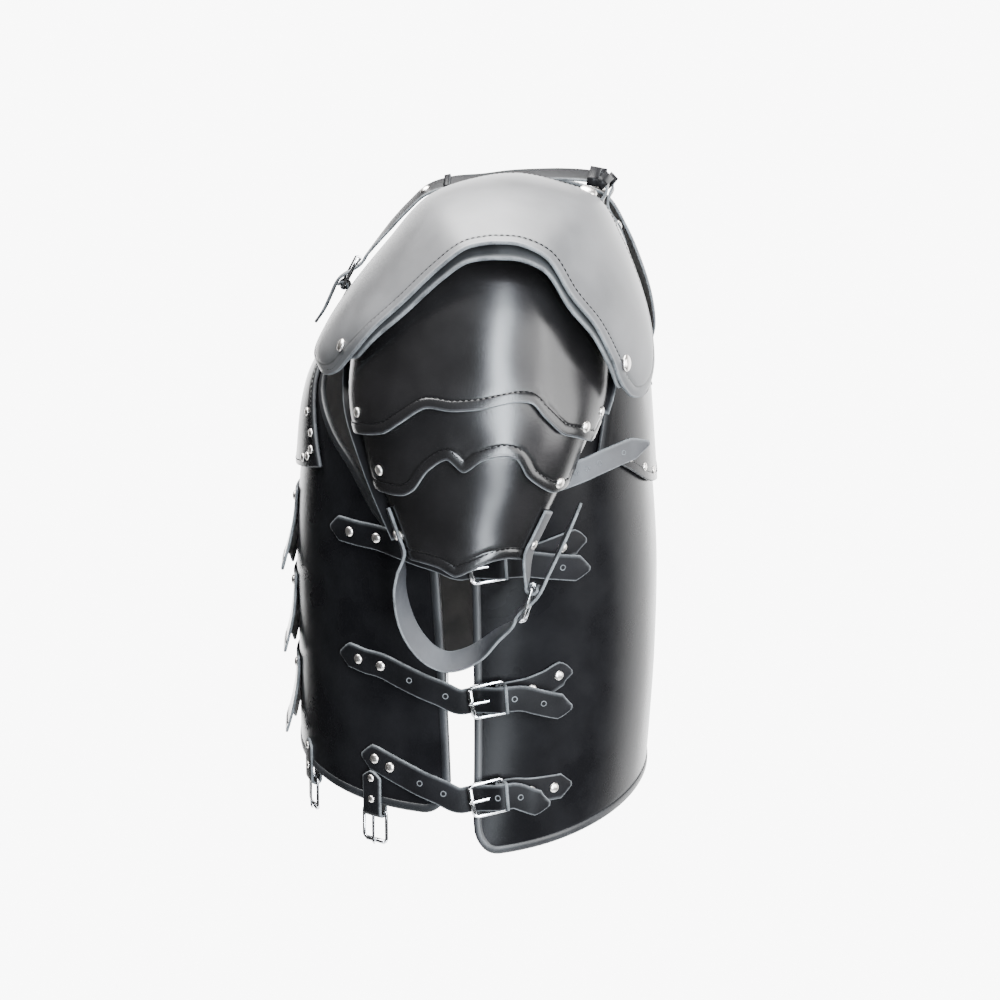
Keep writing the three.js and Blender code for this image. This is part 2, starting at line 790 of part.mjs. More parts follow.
function sideStrap(strap) {
  const w = sideStrapWidth;
  const front = sideBuckle - buckleHalf;
  const low = strapSeat;
  const shoulder = strap.tip + tipLength;
  const tailEnd = strap.tail - tipLength;
  const clear = sideBuckle + 0.07;
  const tailAlong = (share) => clear + (tailEnd - clear) * share;
  const held = (along, lift) => sideStation(along, buckleLine(strap, along), lift, w);
  const stations = [
    sideStation(strap.tip, strap.tipDrop, low, tipWidth),
    sideStation(shoulder, strap.tipDrop, low, w),
    sideStation((shoulder + strapBend) / 2, strap.rivetDrop, low, w),
    sideStation(strapBend, strap.rivetDrop + 0.003, low, w),
    sideStation(strapBend * 0.7, strap.rivetDrop * 0.65 + strap.buckleDrop * 0.35, low, w),
    sideStation(strapBend * 0.4, strap.rivetDrop * 0.35 + strap.buckleDrop * 0.65, low, w),
    sideStation(-0.04, strap.rivetDrop * 0.12 + strap.buckleDrop * 0.88, low, w),
    held(front - 0.04, low),
    held(front + 0.016, low + 0.2),
    held(front + 0.115, overLoop),
    held(clear, overLoop + 0.3),
    sideStation(tailAlong(0.3), buckleLine(strap, clear), overLoop - 0.7, w),
    sideStation(tailAlong(0.65), (buckleLine(strap, clear) + strap.tailDrop) / 2, overLoop - 1, w),
    sideStation(tailEnd, strap.tailDrop, overLoop, w),
    sideStation(strap.tail, strap.tailDrop + 0.003, overLoop + 0.5, tipWidth),
  ];
  return cutForProng(ribbon(stations, strapWall), sideBuckleFrame(strap));
}

function sideTab(strap) {
  const w = sideStrapWidth;
  const frame = sideBuckleFrame(strap);
  const bar = sideBuckle + buckleHalf;
  const middle = (bar + strap.tab) / 2;
  const barDrop = buckleLine(strap, bar);
  const stations = [
    sideStation(strap.tab, strap.tabDrop, strapSeat, tipWidth),
    sideStation(strap.tab - tipLength, strap.tabDrop, strapSeat, w),
    sideStation(middle + 0.04, strap.tabDrop * 0.6 + barDrop * 0.4, strapSeat, w),
    sideStation(middle - 0.03, strap.tabDrop * 0.25 + barDrop * 0.75, strapSeat, w),
    sideStation(bar + 0.04, buckleLine(strap, bar + 0.04), strapSeat, w),
    ...loopStations(frame, w, 300),
  ];
  return cutForProng(ribbon(stations, strapWall), frame);
}

// Shoulder strap over the cap's neck edge, down to its buckle on the chest
const shoulderLine = [
  { along: 0.69, rise: -0.04 },
  { along: 0.66, rise: 0.0 },
  { along: 0.58, rise: 0.018 },
  { along: 0.42, rise: 0.027 },
  { along: 0.27, rise: 0.026 },
  { along: 0.08, rise: 0.019 },
  { along: -0.1, rise: 0.002 },
  { along: -0.3, rise: -0.012 },
  { along: -0.45, rise: -0.05 },
  { along: -0.57, rise: -0.13 },
  { along: -0.68, rise: -0.22 },
];
const shoulderBuckleDrop = 94;

function chestStation(z, end, lift, width) {
  const angle = angleAtWidth(shoulderStrapOffset, z, end);
  const turn = 0.02 * end;
  return {
    point: torsoPoint(angle, z, lift),
    across: torsoSkin(angle - turn, z).sub(torsoSkin(angle + turn, z)).normalize(),
    normal: torsoNormal(angle, z),
    width,
  };
}

const overPlateSeat = 2 * plateWall + plateGap + seatGap + strapWall / 2;

function shoulderBuckleFrame() {
  const bar = chestStation(-shoulderBuckleDrop, -1, overPlateSeat + loopRadius, 0);
  const above = chestStation(-shoulderBuckleDrop + 10, -1, overPlateSeat + loopRadius, 0);
  return buckleFrame(bar.point, bar.point.clone().sub(above.point), bar.normal);
}

function inBuckle(frame, x, z, width) {
  return {
    point: new THREE.Vector3(x, 0, z).applyMatrix4(frame),
    across: new THREE.Vector3().setFromMatrixColumn(frame, 1),
    width,
  };
}

// The strap's way through a buckle: under the outer bar, up through the
// window, over the loop on the hinge bar
function throughBuckle(frame, width) {
  const under = -(buckleBar / 2 + seatGap + 0.5 + strapWall / 2);
  const over = loopRadius + strapWall + seatGap;
  return [
    inBuckle(frame, -buckleLength - 3, under, width),
    inBuckle(frame, -buckleLength + 4, under + 0.2, width),
    inBuckle(frame, -5, over - 0.6, width),
    inBuckle(frame, 1, over, width),
  ];
}

function shoulderStrap() {
  const w = shoulderStrapWidth;
  const frame = shoulderBuckleFrame();
  const across = new THREE.Vector3(1, 0, 0);
  const onYoke = [0.115, 0.085, 0.055].map((drop, i) => chestStation(
    -drop * bodyHeight,
    1,
    overPlateSeat,
    i === 0 ? w * 0.6 : w,
  ));
  const over = shoulderLine.map((row) => ({
    point: new THREE.Vector3(
      shoulderStrapOffset,
      shoulderSetback + row.along * capHalfSpan,
      row.rise * capDrop,
    ),
    across,
    width: w,
  }));
  const stations = [
    ...onYoke,
    ...over,
    ...throughBuckle(frame, w),
    inBuckle(frame, 10, loopRadius + strapWall, w),
    inBuckle(frame, 26, loopRadius + strapWall - 1, w),
    inBuckle(frame, 38, loopRadius + strapWall, tipWidth),
  ];
  return cutForProng(ribbon(stations, strapWall), frame);
}

function shoulderTab() {
  const w = shoulderStrapWidth;
  const frame = shoulderBuckleFrame();
  const stations = [
    chestStation(-shoulderBuckleDrop - 44, -1, overPlateSeat, tipWidth),
    chestStation(-shoulderBuckleDrop - 36, -1, overPlateSeat, w),
    chestStation(-shoulderBuckleDrop - 20, -1, overPlateSeat, w),
    chestStation(-shoulderBuckleDrop - 8, -1, overPlateSeat, w),
    ...loopStations(frame, w, 270),
  ];
  return cutForProng(ribbon(stations, strapWall), frame);
}

// Arm strap: a loop from the lowest lame round the arm to its buckle. Splay is
// how far its near edge turns out from the loop
const armStrapLine = [
  { drop: 1.01, lateral: 0.858, along: -0.575, splay: 0.2 },
  { drop: 1.066, lateral: 0.865, along: -0.585, splay: 0.45 },
  { drop: 1.15, lateral: 0.862, along: -0.535, splay: 0.8 },
  { drop: 1.205, lateral: 0.858, along: -0.45, splay: 1.1 },
  { drop: 1.24, lateral: 0.855, along: -0.35, splay: 1.4 },
  { drop: 1.256, lateral: 0.853, along: -0.235, splay: 1.5 },
  { drop: 1.25, lateral: 0.853, along: -0.12, splay: 1.3 },
  { drop: 1.225, lateral: 0.853, along: 0.02, splay: 0.9 },
  { drop: 1.182, lateral: 0.855, along: 0.155, splay: 0.4 },
];
const armTailLine = [
  { drop: 1.003, lateral: 0.86, along: 0.56, splay: 0 },
  { drop: 0.917, lateral: 0.83, along: 0.67, splay: 0.1 },
  { drop: 0.83, lateral: 0.8, along: 0.78, splay: 0.2 },
];

// Both ends are riveted on the lowest lame: flare is the lame's own there, in
// millimetres, and drop a share of armDrop
const armSeatRows = [
  { drop: 0.85, flare: 0.6 },
  { drop: 0.91, flare: 1.3 },
  { drop: 0.96, flare: 2.3 },
];
const armSeatTurn = THREE.MathUtils.degToRad(76);
const armBuckle = { drop: 1.04, lateral: 0.862, along: 0.43 };
const armBuckleLean = 0.32;

function armPlace(row) {
  return new THREE.Vector3(
    row.lateral * armReach,
    shoulderSetback + row.along * armHalfWidth,
    -row.drop * armDrop,
  );
}

function armBuckleFrame() {
  const towards = new THREE.Vector3(0, armBuckleLean, 1);
  return buckleFrame(armPlace(armBuckle), towards, new THREE.Vector3(0, 1, 0));
}

function armStations(rows, width) {
  const places = rows.map(armPlace);
  const lateral = new THREE.Vector3(1, 0, 0);
  return rows.map((row, i) => {
    const before = places[Math.max(i - 1, 0)];
    const after = places[Math.min(i + 1, rows.length - 1)];
    const outward = after.clone().sub(before).normalize().cross(lateral);
    return { point: places[i], across: lateral.clone().addScaledVector(outward, row.splay), width };
  });
}

function armSeats(turn) {
  const step = 0.01;
  const outside = -2 * lameStep + seatGap / 2 + strapWall / 2;
  return armSeatRows.map((row) => ({
    point: armPoint(turn, row.drop, outside + row.flare),
    across: armSkin(turn + step, row.drop).sub(armSkin(turn - step, row.drop)).normalize(),
    width: armStrapWidth,
  }));
}

function armStrap() {
  const w = armStrapWidth;
  const frame = armBuckleFrame();
  const tail = armStations(armTailLine, w);
  tail[tail.length - 1].width = tipWidth;
  const through = throughBuckle(frame, w).slice(0, 3);
  through.forEach((station) => {
    station.across = new THREE.Vector3(1, 0, 0);
  });
  const seats = armSeats(-armSeatTurn);
  const stations = [...seats, ...armStations(armStrapLine, w), ...through, ...tail];
  return cutForProng(ribbon(stations, strapWall), frame);
}

function armHanger() {
  const frame = armBuckleFrame();
  const seats = armSeats(armSeatTurn);
  seats.forEach((station) => {
    station.across.negate();
  });
  const loop = loopStations(frame, armStrapWidth, 270);
  const stations = [...seats, ...loop];
  return cutForProng(ribbon(stations, strapWall), frame);
}

// Loose strap at the back of the pauldron
const rearStrapLine = [
  { drop: 0.77, lateral: 0.803, along: 0.592 },
  { drop: 0.765, lateral: 0.784, along: 0.65 },
  { drop: 0.745, lateral: 0.77, along: 0.8 },
  { drop: 0.72, lateral: 0.74, along: 0.98 },
  { drop: 0.7, lateral: 0.69, along: 1.16 },
  { drop: 0.69, lateral: 0.65, along: 1.28 },
];

function rearStrap() {
  const stations = rearStrapLine.map((row) => ({
    point: armPlace(row),
    across: new THREE.Vector3(-0.2, 0, 1),
    width: armStrapWidth,
  }));
  stations[stations.length - 1].width = tipWidth;
  return ribbon(stations, strapWall);
}

// Tasset tabs, folded round the hinge bar of a hanging buckle
function tassetFrame(tab) {
  const barZ = -(bodyHeight - frontHemRise + tabHang);
  const hemZ = -(bodyHeight - frontHemRise);
  const y = -tab.along * chestHalfWidth;
  const angle = angleAtDepth(y, hemZ);
  const normal = torsoNormal(angle, hemZ).setZ(0).normalize();
  const seat = torsoPoint(angle, hemZ, strapSeat - loopRadius - tab.press);
  return buckleFrame(seat.setZ(barZ), new THREE.Vector3(0, 0, 1), normal);
}

function tassetTab(tab) {
  const w = tassetTabWidth;
  const frame = tassetFrame(tab);
  const stations = [
    inBuckle(frame, tabRise + tabHang + tabTip, loopRadius, tipWidth),
    inBuckle(frame, tabRise + tabHang, loopRadius, w),
    inBuckle(frame, 12, loopRadius, w),
  ];
  const tab3d = ribbon([...stations, ...foldRound(frame, w)], strapWall);
  return { frame, geometry: cutForSwing(tab3d, frame) };
}

// A fold round the bar: down the outer side, under the bar, up the inner side
function foldRound(frame, width) {
  const across = new THREE.Vector3().setFromMatrixColumn(frame, 1);
  const stations = [];
  for (let degrees = 0; degrees <= 180; degrees += 30) {
    const turn = THREE.MathUtils.degToRad(degrees);
    const point = new THREE.Vector3(
      -loopRadius * Math.sin(turn),
      0,
      loopRadius * Math.cos(turn),
    ).applyMatrix4(frame);
    stations.push({ point, across, width });
  }
  stations.push(inBuckle(frame, tabFold, -loopRadius, width));
  return stations;
}

// Putting the pieces together
const cuirass = new THREE.Group();

function addPiece(name, geometry, finish) {
  const material = new THREE.MeshStandardMaterial(colours[finish]);
  const mesh = new THREE.Mesh(geometry, material);
  mesh.name = name;
  cuirass.add(mesh);
  return mesh;
}

function mirrored(geometry) {
  const copy = mergeVertices(geometry.clone(), 1e-4);
  const position = copy.attributes.position;
  const points = [];
  for (let i = 0; i < position.count; i += 1) {
    points.push(new THREE.Vector3(-position.getX(i), position.getY(i), position.getZ(i)));
  }
  const faces = [];
  for (let i = 0; i < copy.index.count; i += 3) {
    faces.push([copy.index.getX(i), copy.index.getX(i + 1), copy.index.getX(i + 2)]);
  }
  return bodyFrom(points, faces);
}

// A piece on the wearer's left and its mirror image on the right
function addPair(name, geometry, finish) {
  addPiece(`left_${name}`, geometry, finish);
  addPiece(`right_${name}`, mirrored(geometry), finish);
}

// Buckles are alike, so the right one is the left one with its place mirrored
function addBucklePair(name, frame, strapWidth) {
  const geometry = buckleGeometry(strapWidth);
  const left = addPiece(`left_${name}`, geometry, 'metal');
  left.applyMatrix4(frame);
  const mirrorX = new THREE.Matrix4().makeScale(-1, 1, 1);
  const mirrorY = new THREE.Matrix4().makeScale(1, -1, 1);
  const right = addPiece(`right_${name}`, geometry.clone(), 'metal');
  right.applyMatrix4(mirrorX.multiply(frame).multiply(mirrorY));
}

const frontHem = bodyHeight - frontHemRise;
const frontPlate = bodyPlate(-1, frontEdgeSetback, frontHemSetback, frontHem, frontTopRows, 8);
const backPlate = bodyPlate(1, backEdgeSetback, backHemSetback, bodyHeight, backTopRows, 7);
addPiece('front_plate', frontPlate, 'leather');
addPiece('back_plate', backPlate, 'leather');
addPiece('chest_plate', overPlate(-1, chestRows), 'leather');
addPiece('back_yoke', overPlate(1, yokeRows), 'leather');
['upper', 'middle', 'lower'].forEach((name, index) => {
  addPiece(`belly_lame_${name}`, bellyLame(index), 'leather');
});

addPair('pauldron_cap', pauldronCap(), 'leather');
addPair('pauldron_under_cap', underCap(), 'leather');
['upper', 'middle', 'lower'].forEach((name, index) => {
  addPair(`arm_lame_${name}`, armLame(index), 'leather');
});
addPair('arm_strap', armStrap(), 'strap');
addPair('arm_strap_hanger', armHanger(), 'strap');
addBucklePair('arm_buckle', armBuckleFrame(), armStrapWidth);
addPair('rear_strap', rearStrap(), 'strap');

addPair('shoulder_strap', shoulderStrap(), 'strap');
addPair('shoulder_tab', shoulderTab(), 'strap');
addBucklePair('shoulder_buckle', shoulderBuckleFrame(), shoulderStrapWidth);

for (const strap of sideStraps) {
  addPair(`side_strap_${strap.name}`, sideStrap(strap), 'strap');
  addPair(`side_tab_${strap.name}`, sideTab(strap), 'strap');
  addBucklePair(`side_buckle_${strap.name}`, sideBuckleFrame(strap), sideStrapWidth);
}

for (const tab of tassetTabs) {
  const { frame, geometry } = tassetTab(tab);
  addPair(`tasset_tab_${tab.name}`, geometry, 'strap');
  addBucklePair(`tasset_buckle_${tab.name}`, frame, tassetTabWidth);
}

export default cuirass;
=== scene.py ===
"""Looks of the leather cuirass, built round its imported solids.

Sizes are in millimetres until a mesh is made. Front is -Y, the wearer's left +X.
"""
import math
import random

import bpy
from mathutils import Matrix, Vector
from mathutils.kdtree import KDTree


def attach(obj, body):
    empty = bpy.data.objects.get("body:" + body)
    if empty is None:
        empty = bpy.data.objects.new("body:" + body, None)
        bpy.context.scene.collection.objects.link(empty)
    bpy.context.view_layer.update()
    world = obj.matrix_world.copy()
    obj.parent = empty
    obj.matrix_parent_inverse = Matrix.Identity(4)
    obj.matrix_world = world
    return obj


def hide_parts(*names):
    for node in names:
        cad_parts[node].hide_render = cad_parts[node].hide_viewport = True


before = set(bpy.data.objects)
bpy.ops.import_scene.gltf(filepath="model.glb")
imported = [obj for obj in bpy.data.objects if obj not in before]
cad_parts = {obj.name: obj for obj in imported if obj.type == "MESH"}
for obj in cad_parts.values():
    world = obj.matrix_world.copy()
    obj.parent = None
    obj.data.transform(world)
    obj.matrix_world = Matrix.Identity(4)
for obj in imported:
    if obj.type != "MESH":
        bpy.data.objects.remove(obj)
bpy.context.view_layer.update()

MM = 0.001

# Camera, fitted to the photograph, in metres
CAMERA_PLACE = (1.3911, 0.1589, 0.0)
CAMERA_AIM = (-0.97508, -0.09732, -0.19937)
CAMERA_LENS, SENSOR_WIDTH = 56.7, 36
FLOOR_Z, FLOOR_RADIUS, FLOOR_SIDES = -1.45, 1.1, 72

# Body
BODY_HEIGHT, CHEST_HALF = 531, 196
FRONT_DEPTH, BACK_DEPTH = 160, 163
FRONT_HEM_RISE = 33
FRONT_EDGE_SETBACK, FRONT_HEM_SETBACK = 11, 1
BACK_EDGE_SETBACK, BACK_HEM_SETBACK = 17, 19
HEM_CORNER, HEM_SIDE_DIP = 26, 10
# Leather
PLATE_WALL, LAME_WALL, STRAP_WALL = 3, 2.5, 2.2
LAYER_GAP, PLATE_GAP, SEAT_GAP = 0.65, 1.5, 0.8
# Pauldrons
SHOULDER_REACH, CAP_HALF_SPAN, CAP_DROP = 272, 130, 165
SHOULDER_SETBACK = 26
ARM_DROP, ARM_HALF, ARM_REACH = 289, 100, 282
LAME_FLARE, UNDER_CAP_DROP, UNDER_CAP_LIP = 2.5, 10, 2.8
UNDER_CAP_START, UNDER_CAP_INSET, UNDER_CAP_GAP = 0.6, 0.06, 0.65
CAP_CROWN = 0.08
LAME_HALF_TURN = math.radians(85)
# Straps and buckles
SIDE_WIDTH, SHOULDER_WIDTH, ARM_WIDTH, TAB_WIDTH = 20, 22, 16, 17
SHOULDER_OFFSET, SHOULDER_BUCKLE_DROP, SHOULDER_TILT = 80.5, 94, 0.4
BUCKLE_LENGTH, BUCKLE_BAR, BUCKLE_SLACK, LOOP_SLACK = 29, 3, 1.6, 0.9
STRAP_BEND, SIDE_BUCKLE, BUCKLE_HALF = -0.29, 0.14, 0.066
BUCKLE_TILT = math.radians(9)
TAB_RISE, TAB_TIP, TAB_HANG, TAB_FOLD = 18, 5, 12, 6
TIP_WIDTH, TIP_LENGTH = 3, 0.04
# Belly lames
BELLY_HALF, BELLY_HEIGHT, BELLY_PITCH, BELLY_TOP, BELLY_FLARE = 84, 84, 75, 262, 11
# A lame's drop where its stitches run
BELLY_RUN = 72

# drop, width, front, back, squareness
TORSO = [
    (0.0, 0.88, 0.2, 0.52, 2.8),
    (0.075, 0.918, 0.37, 0.7, 2.8),
    (0.159, 0.944, 0.56, 0.81, 2.7),
    (0.243, 0.965, 0.72, 0.865, 2.6),
    (0.318, 0.98, 0.857, 0.896, 2.5),
    (0.449, 0.99, 0.93, 0.933, 2.4),
    (0.618, 0.965, 0.975, 0.975, 2.3),
    (0.787, 0.965, 0.98, 0.975, 2.2),
    (0.912, 1.005, 0.987, 0.957, 2.1),
    (1.0, 1.046, 0.987, 0.939, 2.0),
]
# along, width, drop
FRONT_TOP = [
    (0.0, 0.985, 0.543), (0.03, 0.978, 0.543), (0.08, 0.964, 0.527), (0.15, 0.948, 0.487),
    (0.26, 0.898, 0.419), (0.38, 0.806, 0.369), (0.5, 0.679, 0.305), (0.62, 0.52, 0.184),
    (0.75, 0.335, 0.18), (0.88, 0.19, 0.221), (1.0, 0.0, 0.24),
]
BACK_TOP = [
    (0.0, 0.98, 0.543), (0.03, 0.972, 0.543), (0.08, 0.958, 0.53), (0.15, 0.944, 0.49),
    (0.26, 0.908, 0.416), (0.38, 0.816, 0.32), (0.5, 0.714, 0.215), (0.62, 0.54, 0.048),
    (0.75, 0.325, 0.032), (0.88, 0.18, 0.064), (1.0, 0.0, 0.075),
]
# along, top width, top drop, low width, low drop
CHEST = [
    (0.0, 0.49, 0.19, 0.775, 0.429), (0.2, 0.34, 0.187, 0.635, 0.439),
    (0.5, 0.2, 0.225, 0.4, 0.449), (1.0, 0.0, 0.251, 0.0, 0.455),
]
YOKE = [
    (0.0, 0.51, 0.056, 0.765, 0.4), (0.2, 0.33, 0.04, 0.6, 0.434),
    (0.5, 0.18, 0.07, 0.36, 0.47), (1.0, 0.0, 0.082, 0.0, 0.494),
]
# across, lower
BELLY = [(0.0, 1.0), (0.12, 0.9), (0.35, 0.82), (0.6, 0.8), (0.85, 0.9), (1.0, 0.84)]
# reach, along, drop
CAP_NECK = [
    (0.662, -1, 0.891), (0.599, -1.062, 0.812), (0.559, -1, 0.685), (0.496, -0.877, 0.521),
    (0.419, -0.662, 0.297), (0.36, -0.415, 0.079), (0.342, -0.123, -0.006), (0.342, 0.146, -0.03),
    (0.342, 0.415, 0.012), (0.36, 0.646, 0.085), (0.412, 0.785, 0.255), (0.463, 0.9, 0.461),
    (0.526, 0.977, 0.655), (0.588, 1.008, 0.836), (0.647, 0.985, 0.952),
]
CAP_OUTER = [
    (0.757, -0.877, 0.897), (0.868, -0.715, 0.764), (0.926, -0.577, 0.648), (0.96, -0.392, 0.521),
    (0.982, -0.185, 0.37), (0.996, -0.031, 0.282), (1, 0.085, 0.261), (1.004, 0.169, 0.258),
    (0.993, 0.277, 0.267), (0.978, 0.423, 0.327), (0.96, 0.554, 0.491), (0.926, 0.685, 0.624),
    (0.875, 0.777, 0.776), (0.809, 0.831, 0.903), (0.746, 0.9, 0.994),
]
# drop, reach, middle, width, hollow
ARM = [
    (0.11, 0.79, 1.0, 0.96, 1.05), (0.2, 0.87, 1.0, 0.98, 1.02), (0.3, 0.92, 0.95, 1.0, 0.98),
    (0.4, 0.955, 0.92, 1.01, 1.02), (0.554, 0.995, 0.88, 1.0, 0.86), (0.657, 0.993, 0.85, 0.9, 0.66),
    (0.796, 0.979, 0.77, 0.74, 0.52), (1.0, 0.961, 0.67, 0.46, 0.36),
]
# across, drop: lower outlines of the three lames
LAME_EDGES = [
    [(-1.0, 0.647), (-0.66, 0.63), (-0.5, 0.6), (-0.29, 0.558), (-0.1, 0.563), (0.1, 0.558),
     (0.35, 0.541), (0.47, 0.546), (0.57, 0.581), (0.73, 0.626), (0.85, 0.64), (1.0, 0.661)],
    [(-1.0, 0.792), (-0.64, 0.792), (-0.49, 0.772), (-0.33, 0.72), (-0.15, 0.688), (0.0, 0.72),
     (0.15, 0.69), (0.33, 0.678), (0.45, 0.689), (0.57, 0.734), (0.74, 0.768), (0.88, 0.787),
     (1.0, 0.782)],
    [(-1.0, 0.976), (-0.69, 0.972), (-0.38, 0.979), (-0.1, 1.0), (0.14, 0.986), (0.45, 0.962),
     (0.7, 0.958), (1.0, 0.974)],
]
LAME_TOPS = [
    [(-1.0, 0.44), (-0.64, 0.352), (-0.3, 0.262), (0.0, 0.165), (0.2, 0.11), (0.35, 0.16),
     (0.6, 0.255), (0.8, 0.33), (1.0, 0.44)],
    [(-1.0, 0.57), (0.0, 0.47), (1.0, 0.57)],
    [(-1.0, 0.69), (0.0, 0.62), (1.0, 0.69)],
]
# tip, tip drop, rivet drop, buckle drop, tail, tail drop, tab, tab drop
SIDE_STRAPS = {
    "upper": (-0.5, 0.518, 0.521, 0.557, 0.5, 0.566, 0.52, 0.532),
    "middle": (-0.47, 0.718, 0.723, 0.768, 0.44, 0.782, 0.47, 0.738),
    "lower": (-0.375, 0.874, 0.876, 0.92, 0.36, 0.93, 0.47, 0.918),
}
# along, rise
SHOULDER_LINE = [
    (0.69, -0.04), (0.66, 0.0), (0.58, 0.018), (0.42, 0.027), (0.27, 0.026), (0.08, 0.019),
    (-0.1, 0.002), (-0.3, -0.012), (-0.45, -0.05), (-0.57, -0.13), (-0.68, -0.22),
]
# drop, lateral, along, splay
ARM_STRAP = [
    (1.01, 0.858, -0.575, 0.2), (1.066, 0.865, -0.585, 0.45), (1.15, 0.862, -0.535, 0.8),
    (1.205, 0.858, -0.45, 1.1), (1.24, 0.855, -0.35, 1.4), (1.256, 0.853, -0.235, 1.5),
    (1.25, 0.853, -0.12, 1.3), (1.225, 0.853, 0.02, 0.9), (1.182, 0.855, 0.155, 0.4),
]
ARM_TAIL = [(1.003, 0.86, 0.56, 0), (0.917, 0.83, 0.67, 0.1), (0.83, 0.8, 0.78, 0.2)]
ARM_SEATS = [(0.85, 0.6), (0.91, 1.3), (0.96, 2.3)]
ARM_SEAT_TURN = math.radians(76)
ARM_BUCKLE = (1.04, 0.862, 0.43)
ARM_BUCKLE_LEAN = 0.32
REAR_STRAP = [
    (0.77, 0.803, 0.592), (0.765, 0.784, 0.65), (0.745, 0.77, 0.8), (0.72, 0.74, 0.98),
    (0.7, 0.69, 1.16), (0.69, 0.65, 1.28),
]
TASSET_TABS = {"outer": (0.33, 0), "inner": (0.67, 0.6)}


# Reading a table
def look_up(rows, at, column):
    i = 0
    while i < len(rows) - 2 and at > rows[i + 1][0]:
        i += 1
    before, a, b = rows[max(i - 1, 0)], rows[i], rows[i + 1]
    after = rows[min(i + 2, len(rows) - 1)]
    span = b[0] - a[0]
    t = min(max((at - a[0]) / span, 0), 1)
    slope_a = (b[column] - before[column]) / (b[0] - before[0]) * span
    slope_b = (after[column] - a[column]) / (after[0] - a[0]) * span
    t2, t3 = t * t, t * t * t
    return ((2 * t3 - 3 * t2 + 1) * a[column] + (t3 - 2 * t2 + t) * slope_a
            + (3 * t2 - 2 * t3) * b[column] + (t3 - t2) * slope_b)


def look_up_straight(rows, at, column=1):
    i = 0
    while i < len(rows) - 2 and at > rows[i + 1][0]:
        i += 1
    a, b = rows[i], rows[i + 1]
    t = min(max((at - a[0]) / (b[0] - a[0]), 0), 1)
    return a[column] + (b[column] - a[column]) * t


# Surfaces: each takes u, v and a lift off the leather's inner or outer face
_sections = {}


def torso_section(z):
    key = round(z, 3)
    if key not in _sections:
        drop = -z / BODY_HEIGHT
        _sections[key] = (
            look_up(TORSO, drop, 1) * CHEST_HALF,
            look_up(TORSO, drop, 2) * FRONT_DEPTH,
            look_up(TORSO, drop, 3) * BACK_DEPTH,
            look_up(TORSO, drop, 4),
        )
    return _sections[key]


def torso_skin(angle, z):
    width, front, back, n = torso_section(z)
    c, s = math.cos(angle), math.sin(angle)
    reach = (abs(c) ** n + abs(s) ** n) ** (-1 / n)
    return Vector((width * c * reach, (front if s < 0 else back) * s * reach, z))


def torso_normal(angle, z):
    around = torso_skin(angle + 0.02, z) - torso_skin(angle - 0.02, z)
    up = torso_skin(angle, z + 2) - torso_skin(angle, z - 2)
    return around.cross(up).normalized()


def torso_point(angle, z, lift):
    return torso_skin(angle, z) + torso_normal(angle, z) * lift


def other_share(share, n):
    return (1 - min(max(share, 0), 1) ** n) ** (1 / n)


def angle_at_width(x, z, end):
    width, _, _, n = torso_section(z)
    share = min(abs(x) / width, 1)
    return end * math.atan2(other_share(share, n), share)


def angle_at_depth(y, z):
    _, front, back, n = torso_section(z)
    share = min(abs(y) / (front if y < 0 else back), 1)
    return math.copysign(1, y) * math.atan2(share, other_share(share, n))


def side_angle(angle, side, end):
    return angle if side > 0 else end * math.pi - angle


def hem_lift(from_edge):
    if from_edge >= HEM_CORNER:
        return 0
    return HEM_CORNER - math.sqrt(HEM_CORNER ** 2 - (HEM_CORNER - from_edge) ** 2)


def body_plate(end, setback, hem_setback, hem, top_rows):
    def place(u, v, lift):
        across = 2 * u - 1
        side, along = (-1 if across < 0 else 1), (1 - abs(across)) ** 1.35
        edge = angle_at_depth(end * hem_setback, -hem)
        low = edge + (end * math.pi / 2 - edge) * along
        from_edge = abs(low - edge) * CHEST_HALF
        dip = HEM_SIDE_DIP * math.cos(low) ** 2
        low_z = -hem - dip + HEM_SIDE_DIP / 2 + hem_lift(from_edge)
        top_z = -look_up(top_rows, along, 2) * BODY_HEIGHT
        top_x = look_up(top_rows, along, 1) * CHEST_HALF
        wide, limit = angle_at_width(top_x, top_z, end), angle_at_depth(end * setback, top_z)
        top = min(wide, limit) if end < 0 else max(wide, limit)
        angle, z = low + (top - low) * v, low_z + (top_z - low_z) * v
        return torso_point(side_angle(angle, side, end), z, lift)
    return place


def over_plate(end, rows):
    inner = PLATE_WALL + PLATE_GAP

    def place(u, v, lift):
        across = 2 * u - 1
        side, along = (-1 if across < 0 else 1), 1 - abs(across)
        top_x, top_z, low_x, low_z = (look_up(rows, along, c) for c in (1, 2, 3, 4))
        top_z, low_z = -top_z * BODY_HEIGHT, -low_z * BODY_HEIGHT
        low = angle_at_width(low_x * CHEST_HALF, low_z, end)
        top = angle_at_width(top_x * CHEST_HALF, top_z, end)
        angle, z = low + (top - low) * v, low_z + (top_z - low_z) * v
        return torso_point(side_angle(angle, side, end), z, inner + lift)
    return place


def belly_lame(index):
    inner = PLATE_WALL + LAYER_GAP
    top = -BELLY_TOP - index * BELLY_PITCH

    def place(u, v, lift):
        across = 2 * u - 1
        z = top - BELLY_HEIGHT * look_up_straight(BELLY, abs(across)) * v
        x = across * BELLY_HALF * (1 - 0.12 * v)
        angle = angle_at_width(x, z, -1)
        flare = BELLY_FLARE * v ** 2
        return torso_point(-math.pi - angle if across < 0 else angle, z, inner + lift + flare)
    return place


